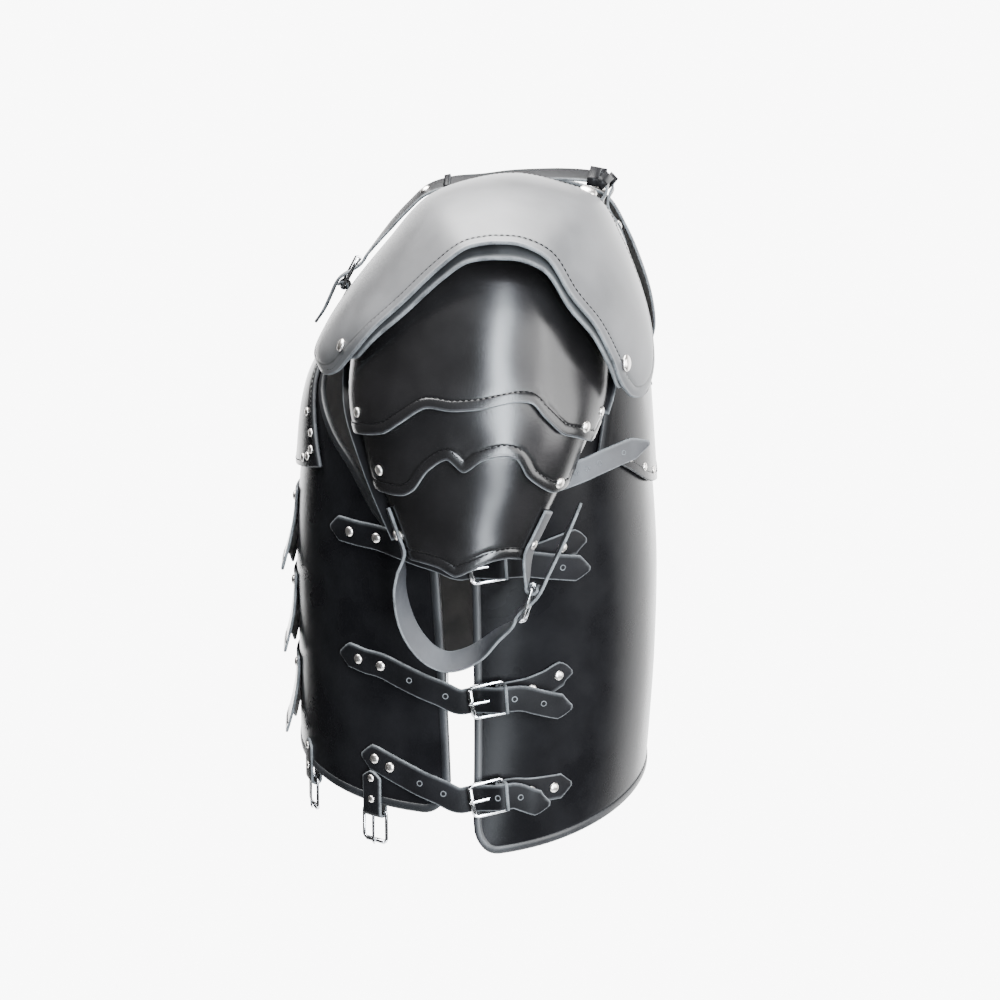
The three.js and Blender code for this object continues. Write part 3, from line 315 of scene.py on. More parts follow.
def centripetal(points, t):
    """A point on the smooth curve through the points, at share t of its spans."""
    last = len(points) - 1
    p = last * min(max(t, 0), 1)
    i = min(int(p), last - 1)
    w = p - i
    b, c = points[i], points[i + 1]
    a = points[i - 1] if i > 0 else b * 2 - c
    d = points[i + 2] if i + 2 <= last else c * 2 - b
    d0, d1, d2 = (max((q - r).length, 1e-4) ** 0.5 for q, r in ((a, b), (b, c), (c, d)))
    m1 = ((b - a) / d0 - (c - a) / (d0 + d1) + (c - b) / d1) * d1
    m2 = ((c - b) / d1 - (d - b) / (d1 + d2) + (d - c) / d2) * d1
    return (b + m1 * w + (c * 3 - b * 3 - m1 * 2 - m2) * w ** 2
            + (b * 2 - c * 2 + m1 + m2) * w ** 3)


def cap_points(rows):
    return [Vector((r * SHOULDER_REACH, SHOULDER_SETBACK + a * CAP_HALF_SPAN, -d * CAP_DROP))
            for r, a, d in rows]


NECK_POINTS, OUTER_POINTS = cap_points(CAP_NECK), cap_points(CAP_OUTER)


def cap_chord(u, v):
    return centripetal(NECK_POINTS, u).lerp(centripetal(OUTER_POINTS, u), v)


def cap_place(u, v, lift):
    low, high = max(u - 0.01, 0), min(u + 0.01, 1)
    around = cap_chord(high, v) - cap_chord(low, v)
    outward = cap_chord(u, v + 0.01) - cap_chord(u, v - 0.01)
    normal = outward.cross(around).normalized()
    band = (centripetal(NECK_POINTS, u) - centripetal(OUTER_POINTS, u)).length
    crown = CAP_CROWN * band * max(math.sin(math.pi * min(max(v, 0), 1)), 0) ** 0.9
    return cap_chord(u, v) + normal * (crown + lift)


def under_cap_place(u, v, lift):
    along = UNDER_CAP_INSET + (1 - 2 * UNDER_CAP_INSET) * u
    out = UNDER_CAP_START + (1 - UNDER_CAP_START) * v
    hang = (0.25 + 0.75 * math.sin(math.pi * u)) * UNDER_CAP_DROP * v ** 2
    turned_out = UNDER_CAP_LIP * max(v - 0.72, 0) / 0.28 * math.sin(math.pi * u) ** 0.5
    outer = -LAME_WALL - LAYER_GAP - UNDER_CAP_GAP + turned_out
    return cap_place(along, out, outer + lift) - Vector((0, 0, hang))


def arm_skin(turn, drop):
    reach, middle, width, hollow = (look_up(ARM, drop, c) for c in (1, 2, 3, 4))
    return Vector((
        reach * ARM_REACH - hollow * ARM_HALF * (1 - math.cos(turn)),
        middle * SHOULDER_SETBACK + width * ARM_HALF * math.sin(turn),
        -drop * ARM_DROP,
    ))


def arm_point(turn, drop, lift):
    around = arm_skin(turn + 0.01, drop) - arm_skin(turn - 0.01, drop)
    down = arm_skin(turn, drop + 0.01) - arm_skin(turn, drop - 0.01)
    return arm_skin(turn, drop) + down.cross(around).normalized() * lift


LAME_STEP = LAME_WALL + LAYER_GAP
EDGE_SMOOTH = 0.7


def arm_lame(index):
    def place(u, v, lift):
        turn = (2 * u - 1) * LAME_HALF_TURN
        across = math.sin(turn) / math.sin(LAME_HALF_TURN)
        edge = LAME_EDGES[index]
        low = (look_up(edge, across, 1) * EDGE_SMOOTH
               + look_up_straight(edge, across) * (1 - EDGE_SMOOTH))
        top = look_up_straight(LAME_TOPS[index], across)
        flare = LAME_FLARE * v ** 3
        return arm_point(turn, top + (low - top) * v, lift - index * LAME_STEP + flare)
    return place


# Straps: stations of (point, across, width) with a smooth line through them
def length_at(place, u):
    return (place(u, 1, 0) - place(u, 0, 0)).length


def corner_cut(from_end, radius):
    if from_end >= radius:
        return 0
    return radius - math.sqrt(radius ** 2 - (radius - from_end) ** 2)


def rounded(place, span, radius, head=False):
    """The surface with round corners at its foot v = 1, and at its head if asked."""
    def shaped(u, v, lift):
        cut = corner_cut(min(u, 1 - u) * span, radius)
        if cut > 0:
            share = cut / length_at(place, u)
            v = share + (1 - 2 * share) * v if head else v * (1 - share)
        return place(u, v, lift)
    return shaped


def frame_of(point, towards, out):
    """Axes of a buckle: X to the hinge bar, Z out, origin on the bar."""
    x = towards.normalized()
    z = (out - x * out.dot(x)).normalized()
    y = z.cross(x)
    m = Matrix((x, y, z)).transposed().to_4x4()
    m.translation = point
    return m


LOOP_RADIUS = BUCKLE_BAR / 2 * math.sqrt(2) + LOOP_SLACK + STRAP_WALL / 2
STRAP_SEAT = PLATE_WALL + SEAT_GAP + STRAP_WALL / 2
BAR_LIFT = STRAP_SEAT + LOOP_RADIUS
OVER_LOOP = BAR_LIFT + LOOP_RADIUS + STRAP_WALL + 2 * SEAT_GAP
OVER_PLATE_SEAT = 2 * PLATE_WALL + PLATE_GAP + SEAT_GAP + STRAP_WALL / 2


def axis_y(m):
    return m.to_3x3() @ Vector((0, 1, 0))


def in_buckle(m, x, z, width):
    return (m @ Vector((x, 0, z)), axis_y(m), width)


def loop_stations(m, width, end_degrees):
    out = []
    for degrees in range(90, end_degrees + 1, 15):
        turn = math.radians(degrees)
        point = m @ Vector((LOOP_RADIUS * math.cos(turn), 0, -LOOP_RADIUS * math.sin(turn)))
        out.append((point, axis_y(m), width))
    return out


def side_station(along, drop, lift, width):
    z, y = -drop * BODY_HEIGHT, along * CHEST_HALF
    angle = angle_at_depth(y if y else 0.01, z)
    normal = torso_normal(angle, z)
    around = (torso_point(angle + 0.02, z, 0) - torso_point(angle - 0.02, z, 0)).normalized()
    return (torso_point(angle, z, lift), normal.cross(around), width, normal, around)


def buckle_line(row, along):
    """Height of the line through a side buckle, which rises towards its hinge bar."""
    return row[3] - (along - SIDE_BUCKLE) * CHEST_HALF * math.tan(BUCKLE_TILT) / BODY_HEIGHT


def side_buckle_frame(row):
    along = SIDE_BUCKLE + BUCKLE_HALF
    point, _, _, normal, around = side_station(along, buckle_line(row, along), BAR_LIFT, 0)
    return frame_of(point, Matrix.Rotation(BUCKLE_TILT, 3, normal) @ around, normal)


def side_strap(row):
    tip, tip_drop, rivet, buckle, tail, tail_drop = row[:6]
    w, low, front = SIDE_WIDTH, STRAP_SEAT, SIDE_BUCKLE - BUCKLE_HALF
    shoulder, tail_end, clear = tip + TIP_LENGTH, tail - TIP_LENGTH, SIDE_BUCKLE + 0.07

    def held(along, lift):
        return along, buckle_line(row, along), lift, w

    def tail_at(share):
        return clear + (tail_end - clear) * share

    rows = [
        (tip, tip_drop, low, TIP_WIDTH), (shoulder, tip_drop, low, w),
        ((shoulder + STRAP_BEND) / 2, rivet, low, w), (STRAP_BEND, rivet + 0.003, low, w),
        (STRAP_BEND * 0.7, rivet * 0.65 + buckle * 0.35, low, w),
        (STRAP_BEND * 0.4, rivet * 0.35 + buckle * 0.65, low, w),
        (-0.04, rivet * 0.12 + buckle * 0.88, low, w), held(front - 0.04, low),
        held(front + 0.016, low + 0.2), held(front + 0.115, OVER_LOOP),
        held(clear, OVER_LOOP + 0.3), (tail_at(0.3), buckle_line(row, clear), OVER_LOOP - 0.7, w),
        (tail_at(0.65), (buckle_line(row, clear) + tail_drop) / 2, OVER_LOOP - 1, w),
        (tail_end, tail_drop, OVER_LOOP, w),
        (tail, tail_drop + 0.003, OVER_LOOP + 0.5, TIP_WIDTH),
    ]
    return [side_station(*r)[:3] for r in rows]


def side_tab(row):
    tab, drop = row[6], row[7]
    w, bar = SIDE_WIDTH, SIDE_BUCKLE + BUCKLE_HALF
    middle, bar_drop = (bar + tab) / 2, buckle_line(row, bar)
    rows = [
        (tab, drop, STRAP_SEAT, TIP_WIDTH), (tab - TIP_LENGTH, drop, STRAP_SEAT, w),
        (middle + 0.04, drop * 0.6 + bar_drop * 0.4, STRAP_SEAT, w),
        (middle - 0.03, drop * 0.25 + bar_drop * 0.75, STRAP_SEAT, w),
        (bar + 0.04, buckle_line(row, bar + 0.04), STRAP_SEAT, w),
    ]
    return [side_station(*r)[:3] for r in rows] + loop_stations(side_buckle_frame(row), w, 300)


def chest_station(z, end, lift, width):
    angle, turn = angle_at_width(SHOULDER_OFFSET, z, end), 0.02 * end
    across = (torso_skin(angle - turn, z) - torso_skin(angle + turn, z)).normalized()
    return (torso_point(angle, z, lift), across, width)


def shoulder_buckle_frame():
    z, lift = -SHOULDER_BUCKLE_DROP, OVER_PLATE_SEAT + LOOP_RADIUS
    bar, above = chest_station(z, -1, lift, 0)[0], chest_station(z + 10, -1, lift, 0)[0]
    return frame_of(bar, bar - above, torso_normal(angle_at_width(SHOULDER_OFFSET, z, -1), z))


def through_buckle(m, width):
    under = -(BUCKLE_BAR / 2 + SEAT_GAP + 0.5 + STRAP_WALL / 2)
    over = LOOP_RADIUS + STRAP_WALL + SEAT_GAP
    return [in_buckle(m, x, z, width) for x, z in (
        (-BUCKLE_LENGTH - 3, under), (-BUCKLE_LENGTH + 4, under + 0.2), (-5, over - 0.6), (1, over))]


def shoulder_strap():
    w, m = SHOULDER_WIDTH, shoulder_buckle_frame()
    yoke = [chest_station(-d * BODY_HEIGHT, 1, OVER_PLATE_SEAT, w * (0.6 if i == 0 else 1))
            for i, d in enumerate((0.115, 0.085, 0.055))]
    over = [(Vector((SHOULDER_OFFSET, SHOULDER_SETBACK + a * CAP_HALF_SPAN, r * CAP_DROP)),
             Vector((1, 0, -SHOULDER_TILT)), w) for a, r in SHOULDER_LINE]
    end = LOOP_RADIUS + STRAP_WALL
    tail = [in_buckle(m, x, z, b) for x, z, b in ((10, end, w), (26, end - 1, w), (38, end, 3))]
    return yoke + over + through_buckle(m, w) + tail


def shoulder_tab():
    drops = ((-44, 3), (-36, SHOULDER_WIDTH), (-20, SHOULDER_WIDTH), (-8, SHOULDER_WIDTH))
    flat = [chest_station(-SHOULDER_BUCKLE_DROP + d, -1, OVER_PLATE_SEAT, w) for d, w in drops]
    return flat + loop_stations(shoulder_buckle_frame(), SHOULDER_WIDTH, 270)


def arm_place(row):
    drop, lateral, along = row[:3]
    return Vector((lateral * ARM_REACH, SHOULDER_SETBACK + along * ARM_HALF, -drop * ARM_DROP))


def arm_buckle_frame():
    return frame_of(arm_place(ARM_BUCKLE), Vector((0, ARM_BUCKLE_LEAN, 1)), Vector((0, 1, 0)))


def arm_seats(turn):
    outside = -2 * LAME_STEP + SEAT_GAP / 2 + STRAP_WALL / 2
    out = []
    for drop, flare in ARM_SEATS:
        across = (arm_skin(turn + 0.01, drop) - arm_skin(turn - 0.01, drop)).normalized()
        out.append((arm_point(turn, drop, outside + flare), across, ARM_WIDTH))
    return out


def arm_stations(rows, widths):
    """Splay is how far the strap's near edge turns out from the loop."""
    places, lateral, out = [arm_place(r) for r in rows], Vector((1, 0, 0)), []
    for i, (row, width) in enumerate(zip(rows, widths)):
        along = places[min(i + 1, len(rows) - 1)] - places[max(i - 1, 0)]
        out.append((places[i], lateral + along.normalized().cross(lateral) * row[3], width))
    return out


def arm_strap():
    w, m = ARM_WIDTH, arm_buckle_frame()
    through = [(p, Vector((1, 0, 0)), b) for p, _, b in through_buckle(m, w)[:3]]
    body = arm_stations(ARM_STRAP, [w] * len(ARM_STRAP))
    return arm_seats(-ARM_SEAT_TURN) + body + through + arm_stations(ARM_TAIL, (w, w, TIP_WIDTH))


def arm_hanger():
    seats = [(p, -a, w) for p, a, w in arm_seats(ARM_SEAT_TURN)]
    return seats + loop_stations(arm_buckle_frame(), ARM_WIDTH, 270)


def rear_strap():
    across = Vector((-0.2, 0, 1))
    widths = [ARM_WIDTH] * (len(REAR_STRAP) - 1) + [TIP_WIDTH]
    return [(arm_place(r), across, w) for r, w in zip(REAR_STRAP, widths)]


def tasset_frame(along, press):
    hem_z = -(BODY_HEIGHT - FRONT_HEM_RISE)
    angle = angle_at_depth(-along * CHEST_HALF, hem_z)
    normal = torso_normal(angle, hem_z)
    normal = Vector((normal.x, normal.y, 0)).normalized()
    seat = torso_point(angle, hem_z, STRAP_SEAT - LOOP_RADIUS - press)
    seat.z = hem_z - TAB_HANG
    return frame_of(seat, Vector((0, 0, 1)), normal)


def tasset_tab(m):
    w = TAB_WIDTH
    flat = [in_buckle(m, x, LOOP_RADIUS, b) for x, b in
            ((TAB_RISE + TAB_HANG + TAB_TIP, TIP_WIDTH), (TAB_RISE + TAB_HANG, w), (12, w))]
    fold = []
    for degrees in range(0, 181, 15):
        turn = math.radians(degrees)
        point = m @ Vector((-LOOP_RADIUS * math.sin(turn), 0, LOOP_RADIUS * math.cos(turn)))
        fold.append((point, axis_y(m), w))
    return flat + fold + [in_buckle(m, TAB_FOLD, -LOOP_RADIUS, w)]


GROOVE_AT, GROOVE_WIDE, GROOVE_DEEP, BAND_RISE = 7.6, 0.75, 0.55, 0.35


# Materials
def material(name, base, rough, metallic=0.0, specular=0.5, build=None):
    mat = bpy.data.materials.new(name)
    mat.use_nodes = True
    tree = mat.node_tree
    shader = tree.nodes["Principled BSDF"]
    shader.inputs["Base Color"].default_value = (*base, 1)
    shader.inputs["Roughness"].default_value = rough
    shader.inputs["Metallic"].default_value = metallic
    shader.inputs["Specular IOR Level"].default_value = specular
    if build:
        build(tree, shader)
    return mat


def node(tree, kind, **values):
    """A node with its settings and inputs; an input that is given a socket is linked."""
    made = tree.nodes.new(kind)
    for key, value in values.items():
        if key not in made.inputs:
            setattr(made, key, value)
        elif isinstance(value, bpy.types.NodeSocket):
            tree.links.new(value, made.inputs[key])
        else:
            made.inputs[key].default_value = value
    return made


def noise(tree, coords, scale, detail):
    return node(tree, "ShaderNodeTexNoise", Vector=coords, Scale=scale, Detail=detail).outputs["Fac"]


def object_coords(tree):
    return node(tree, "ShaderNodeTexCoord").outputs["Object"]


def maths(tree, operation, *values):
    made = node(tree, "ShaderNodeMath", operation=operation)
    for socket, value in zip(made.inputs, values):
        if isinstance(value, bpy.types.NodeSocket):
            tree.links.new(value, socket)
        else:
            socket.default_value = value
    return made.outputs["Value"]


def smooth_step(tree, value, start, end, low, high):
    """A value that goes from low to high between start and end."""
    ends = {"From Min": start, "From Max": end, "To Min": low, "To Max": high}
    made = node(tree, "ShaderNodeMapRange", interpolation_type="SMOOTHSTEP", Value=value, **ends)
    return made.outputs["Result"]


def blend(tree, share, below, colour):
    """The colour below, covered by another where share is one."""
    made = node(tree, "ShaderNodeMix", data_type="RGBA", Factor=share)
    tree.links.new(below, made.inputs[6])
    made.inputs[7].default_value = (*colour, 1)
    return made.outputs[2]


def ramp(tree, value, stops):
    made = tree.nodes.new("ShaderNodeValToRGB")
    elements = made.color_ramp.elements
    for k, (at, colour) in enumerate(stops):
        element = elements[k] if k < 2 else elements.new(at)
        element.position = at
        element.color = (*colour, 1) if len(colour) == 3 else colour
    tree.links.new(value, made.inputs["Fac"])
    return made.outputs["Color"]


def remap(tree, value, low, high):
    return node(tree, "ShaderNodeMapRange", Value=value, **{"To Min": low, "To Max": high}).outputs["Result"]


def bumps(tree, shader, layers):
    """Stacks bump layers of (height socket, strength, distance in metres)."""
    normal = None
    for height, strength, distance in layers:
        made = node(tree, "ShaderNodeBump", Strength=strength, Distance=distance, Height=height)
        if normal is not None:
            tree.links.new(normal, made.inputs["Normal"])
        normal = made.outputs["Normal"]
    tree.links.new(normal, shader.inputs["Normal"])


def groove(tree):
    """One inside the line pressed at a fixed distance from an edge, else nought."""
    inset = node(tree, "ShaderNodeAttribute", attribute_name="inset").outputs["Fac"]
    off = maths(tree, "ABSOLUTE", maths(tree, "SUBTRACT", inset, GROOVE_AT))
    return smooth_step(tree, off, 0.15, 0.95, 0.75, 0.0)


def grain(dark, light, rough, edge_light, pebble=1100, depth=0.00012):
    """Finished leather: pebbled grain, soft creases, rubbed edges and painted shade in the pressed line."""
    def build(tree, shader):
        coords = object_coords(tree)
        cells = node(tree, "ShaderNodeTexVoronoi", Vector=coords, Scale=pebble, feature="SMOOTH_F1")
        cloud, swell = noise(tree, coords, 26, 3), noise(tree, coords, 60, 0)
        fine = noise(tree, coords, 420, 3)
        worn = node(tree, "ShaderNodeAttribute", attribute_name="edge").outputs["Fac"]
        colour = ramp(tree, cloud, [(0.35, dark), (0.68, light)])
        rubbed = maths(tree, "MULTIPLY", worn, remap(tree, fine, 0.2, 1.4))
        colour = blend(tree, rubbed, colour, edge_light)
        # The pressed line is painted darker: painted shade in the groove.
        colour = blend(tree, groove(tree), colour, [c * 0.35 for c in dark])
        tree.links.new(colour, shader.inputs["Base Color"])
        tree.links.new(remap(tree, cloud, rough - 0.03, rough + 0.05), shader.inputs["Roughness"])
        bumps(tree, shader, [
            (swell, 0.12, 0.0005), (fine, 0.14, 0.0002), (cells.outputs["Distance"], 0.3, depth)])
    return build


def cut_edge(dark, light):
    """Cut leather: pale fibres in thin layers."""
    def build(tree, shader):
        coords = object_coords(tree)
        fibres, patches = noise(tree, coords, 1500, 4), noise(tree, coords, 90, 3)
        colour = ramp(tree, maths(tree, "MULTIPLY", fibres, patches), [(0.12, dark), (0.34, light)])
        tree.links.new(colour, shader.inputs["Base Color"])
        bumps(tree, shader, [(fibres, 0.5, 0.0003)])
    return build


def suede(dark, light):
    """The leather's inner side."""
    def build(tree, shader):
        coords = object_coords(tree)
        fine, cloud = noise(tree, coords, 1300, 5), noise(tree, coords, 30, 4)
        tree.links.new(ramp(tree, cloud, [(0.3, dark), (0.7, light)]), shader.inputs["Base Color"])
        bumps(tree, shader, [(fine, 0.6, 0.0004)])
    return build


def plated(rough):
    """Plated metal with faint scratches."""
    def build(tree, shader):
        coords = object_coords(tree)
        marks = noise(tree, coords, 700, 6)
        tree.links.new(remap(tree, marks, rough, rough + 0.2), shader.inputs["Roughness"])
        bumps(tree, shader, [(marks, 0.02, 0.00005)])
    return build


PLATE = material("plate_leather", (0.005,) * 3, 0.27, specular=0.05, build=grain(
    (0.0035, 0.0035, 0.004), (0.0065, 0.0065, 0.0072), 0.27, (0.03, 0.031, 0.033)))
# The cap is the same black leather as the lames, given a grey colour: painted light from the overhead lamp
# on the cap.
CAP_PAINTED_LIGHT = material("cap_leather", (0.075,) * 3, 0.4, build=grain(
    (0.065, 0.065, 0.066), (0.09, 0.09, 0.092), 0.4, (0.17, 0.17, 0.175)))
LAME = material("lame_leather", (0.006,) * 3, 0.25, build=grain(
    (0.0045, 0.0043, 0.0045), (0.0075, 0.0072, 0.0075), 0.24, (0.05, 0.052, 0.055)))
# The under cap's lip is given a lighter grey than the lames' leather: painted light on its lit band.
LIP_PAINTED_LIGHT = material("under_cap_leather", (0.05,) * 3, 0.6, build=grain(
    (0.02, 0.021, 0.022), (0.05, 0.052, 0.054), 0.6, (0.12, 0.125, 0.13)))
STRAP = material("strap_leather", (0.005,) * 3, 0.42, specular=0.1, build=grain(
    (0.0035, 0.0035, 0.004), (0.007, 0.007, 0.008), 0.4, (0.09, 0.094, 0.098), 1500))
WORN = material("worn_strap_leather", (0.025,) * 3, 0.5, build=grain(
    (0.012, 0.013, 0.016), (0.034, 0.036, 0.041), 0.5, (0.12, 0.125, 0.13), 1500))
BINDING = material("edge_binding", (0.01,) * 3, 0.5, build=grain(
    (0.005, 0.0055, 0.0065), (0.012, 0.013, 0.015), 0.42, (0.04, 0.042, 0.045), 1700))
EDGE = material("cut_edge", (0.12,) * 3, 0.85, build=cut_edge(
    (0.025, 0.027, 0.029), (0.13, 0.14, 0.148)))
DARK_EDGE = material("dyed_edge", (0.03,) * 3, 0.6, build=cut_edge(
    (0.008, 0.008, 0.009), (0.035, 0.037, 0.04)))
THREAD = material("thread", (0.004,) * 3, 0.9, specular=0.1, build=cut_edge(
    (0.002, 0.002, 0.002), (0.006, 0.006, 0.0065)))
FLESH = material("flesh_side", (0.02,) * 3, 0.9, build=suede(
    (0.008, 0.0075, 0.0075), (0.024, 0.022, 0.021)))
HOLE = material("punched_hole", (0.004,) * 3, 0.9, build=suede((0.002,) * 3, (0.006,) * 3))
CHROME = material("chrome", (0.82, 0.83, 0.85), 0.1, 1.0, build=plated(0.06))
NICKEL = material("nickel", (0.84, 0.8, 0.76), 0.3, 1.0, build=plated(0.22))


# Meshes
def show(name, data):
    obj = bpy.data.objects.new(name, data)
    bpy.context.scene.collection.objects.link(obj)
    return obj


def finish_mesh(name, points, faces, slots, materials, slot, body, edge=None, mirror=False,
                inset=None):
    """Makes a piece from points in millimetres; mirror puts it on the other side."""
    mesh = bpy.data.meshes.new(name)
    flip = -1 if mirror else 1
    mesh.from_pydata([(flip * p[0] * MM, p[1] * MM, p[2] * MM) for p in points], [],
                     [f[::-1] if mirror else f for f in faces])
    for mat in materials:
        mesh.materials.append(mat)
    mesh.polygons.foreach_set("material_index", slots)
    mesh.polygons.foreach_set("use_smooth", [True] * len(faces))
    if edge is not None:
        mesh.attributes.new("edge", "FLOAT", "POINT").data.foreach_set("value", edge)
        mesh.attributes.new("inset", "FLOAT", "POINT").data.foreach_set("value", inset)
    mesh.update()
    obj = show(name, mesh)
    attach(obj, body)
    return obj


def both_sides(make, name, *args, replaced=None, **kwargs):
    """Makes the wearer's left piece and its mirror image."""
    made = []
    for side, mirror in (("left", False), ("right", True)):
        body = kwargs.get("body", "shell")
        if body != "shell":
            body = f"{side}_{body}"
        named = {**kwargs, "body": body}
        obj = make(f"{side}_{name}", *args, mirror=mirror, **named)
        if replaced:
            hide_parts(*[f"{side}_{n}" for n in replaced])
        made.append(obj)
    return made


def spaced(length, edges, count):
    """Shares 0..1 with rows at the given distances from the end, then even ones."""
    near = [e / length for e in edges if e < length * 0.45]
    rest = [near[-1] + (1 - near[-1] - 0.8 / length) * (k + 1) / count for k in range(count)]
    return near + rest + [1.0]


# Millimetres, more than any sheet has between a point and its border
FAR = 100.0
EDGE_ROWS = (0, 0.7, 1.8, 3.4, 5.2, 6.3, 7.0, 7.6, 8.2, 9.0, 10.4)


def relief(distance):
    """The pressed line inside an edge, and the soft band outside it."""
    groove = math.exp(-((distance - GROOVE_AT) / GROOVE_WIDE) ** 2) * GROOVE_DEEP
    band = BAND_RISE * math.exp(-((distance - 3.6) / 2.4) ** 2)
    return band - groove


# Which stretches of a sheet's border have a line pressed beside them
def foot_lined(u, v):
    return v == 1


def not_foot_lined(u, v):
    return v < 1


def all_lined(u, v):
    return True


def unlined(u, v):
    return False


def distances(points, border):
    """How far each point lies from the border's stretches, None marking a break."""
    steps = []
    for a, b in zip(border, border[1:]):
        if a is not None and b is not None:
            parts = max(1, int((b - a).length / 0.5))
            steps += [a.lerp(b, q / parts) for q in range(parts)]
    tree = KDTree(len(steps))
    for k, p in enumerate(steps):
        tree.insert(p, k)
    tree.balance()
    return [tree.find(p)[2] for p in points]


def leather_sheet(name, place, columns, rows, wall, materials, slot="leather", body="shell",
                  lined=foot_lined, mirror=False, ripple=0.0, lift=0.0):
    """A sheet of leather with a rounded cut edge all round.

    columns are u shares; rows(u) gives shares counted back from the foot v = 1.
    A line is pressed along the stretches of border where lined(u, v) holds.
    """
    outer, inner, edge_value = [], [], []
    grid_v = [rows(u) for u in columns]
    nu, nv = len(columns), len(grid_v[0])
    loop = ([(i, 0) for i in range(nu - 1)] + [(nu - 1, j) for j in range(nv - 1)]
            + [(i, nv - 1) for i in range(nu - 1, 0, -1)] + [(0, j) for j in range(nv - 1, 0, -1)])
    n = len(loop)
    middle = [[place(u, 1 - back, lift + wall / 2) for back in grid_v[i]]
              for i, u in enumerate(columns)]
    border = [middle[i][j] if lined(columns[i], 1 - grid_v[i][j]) else None
              for i, j in loop + loop[:1]]
    if any(p is not None for p in border):
        inset = distances([p for row in middle for p in row], border)
    else:
        inset = [FAR] * (nu * nv)
    rng = random.Random(len(name) * 7 + nu)
    phase = [rng.uniform(0, 6.3) for _ in range(4)]
    for i, u in enumerate(columns):
        length = length_at(place, u)
        for j, back in enumerate(grid_v[i]):
            v = 1 - back
            from_foot = back * length
            wave = ripple * (math.sin(9 * u + phase[0] + 3 * v) * math.sin(5 * v + phase[1])
                             + 0.5 * math.sin(23 * u + phase[2]) * math.sin(11 * v + phase[3]))
            press = relief(inset[i * nv + j])
            outer.append(place(u, v, lift + wall + wave + press))
            inner.append(place(u, v, lift + wave))
            to_side = min(i, nu - 1 - i, nv - 1 - j)
            near = min(from_foot, 3.0 if to_side else 0)
            edge_value.append(max(0.0, 1 - near / 1.6) * 0.8 if near < 1.6 else 0.0)
    count = nu * nv
    points, faces, slots = outer + inner, [], []

    def at(i, j):
        return i * nv + j

    for i in range(nu - 1):
        for j in range(nv - 1):
            quad = (at(i, j), at(i + 1, j), at(i + 1, j + 1), at(i, j + 1))
            faces.append(quad)
            faces.append(tuple(count + q for q in reversed(quad)))
            slots += [0, 2]
    rims = []
    for share, bulge in ((0.14, 0.2), (0.5, 0.3), (0.86, 0.2)):
        ring = []
        for k, (i, j) in enumerate(loop):
            a, b = points[at(i, j)], points[count + at(i, j)]
            before, after = loop[k - 1], loop[(k + 1) % n]
            tangent = (points[at(*after)] - points[at(*before)]).normalized()
            out = tangent.cross((a - b).normalized())
            inside = points[at(min(max(i, 1), nu - 2), min(max(j, 1), nv - 2))]
            if out.dot(a - inside) < 0:
                out = -out
            ring.append(len(points))
            points.append(a.lerp(b, share) + out.normalized() * bulge * wall)
            edge_value.append(1.0)
        rims.append(ring)
    edge_value = edge_value[:count] + [0.0] * count + edge_value[count:]
    chain = [[at(i, j) for i, j in loop], *rims, [count + at(i, j) for i, j in loop]]
    for r, (one, two) in enumerate(zip(chain, chain[1:])):
        for k in range(n):
            m = (k + 1) % n
            faces.append((one[m], one[k], two[k], two[m]))
            slots.append(1)
    # Outward, whichever way the surface's own u and v run
    a, b, c = (outer[at(nu // 2, nv // 2)], outer[at(nu // 2 + 1, nv // 2)],
               outer[at(nu // 2, nv // 2 + 1)])
    out = outer[at(nu // 2, nv // 2)] - inner[at(nu // 2, nv // 2)]
    if (b - a).cross(c - a).dot(out) < 0:
        faces = [f[::-1] for f in faces]
    inset += [FAR] * (len(points) - count)
    return finish_mesh(name, points, faces, slots, materials, slot, body, edge_value, mirror, inset)


def even(count):
    return [k / count for k in range(count + 1)]


def rows_from_edge(place, count, edges=EDGE_ROWS):
    """Rows for leather_sheet, with close rows near the lined edge."""
    def rows(u):
        return spaced(max(length_at(place, u), 26), edges, count)
    return rows


def strap_place(stations, wall=STRAP_WALL):
    """A surface along a strap: u along it, v across it, lift from its middle."""
    points = [s[0] for s in stations]
    acrosses = [s[1].normalized() for s in stations]
    widths = [s[2] for s in stations]
    last = len(stations) - 1

    def place(u, v, lift):
        p = centripetal(points, u)
        ahead = centripetal(points, min(u + 0.004, 1)) - centripetal(points, max(u - 0.004, 0))
        along = ahead.normalized()
        k = min(int(u * last), last - 1)
        t = u * last - k
        across = acrosses[k].lerp(acrosses[k + 1], t)
        across = (across - along * across.dot(along)).normalized()
        up = along.cross(across)
        width = widths[k] + (widths[k + 1] - widths[k]) * t
        share = 2 * v - 1
        return p + across * (share * width / 2) + up * (lift - 0.3 * share ** 2)
    return place


STRAP_ROWS = (0, 0.04, 0.12, 0.3, 0.5, 0.7, 0.88, 0.96, 1)


def strap(name, stations, wall=STRAP_WALL, body="shell", mirror=False, step=2.2, face=None):
    place = strap_place(stations)
    length = sum((b[0] - a[0]).length for a, b in zip(stations, stations[1:]))
    last = len(stations) - 1
    columns = []
    for k, (a, b) in enumerate(zip(stations, stations[1:])):
        parts = max(2, int((b[0] - a[0]).length / step))
        if a[2] != b[2]:
            parts = max(parts, 6)
        columns += [(k + q / parts) / last for q in range(parts)]
    columns.append(1.0)
    return leather_sheet(name, place, columns, lambda u: STRAP_ROWS, wall,
                         [face or STRAP, EDGE, face or FLESH],
                         slot="strap", body=body, lined=unlined, mirror=mirror, lift=-wall / 2)


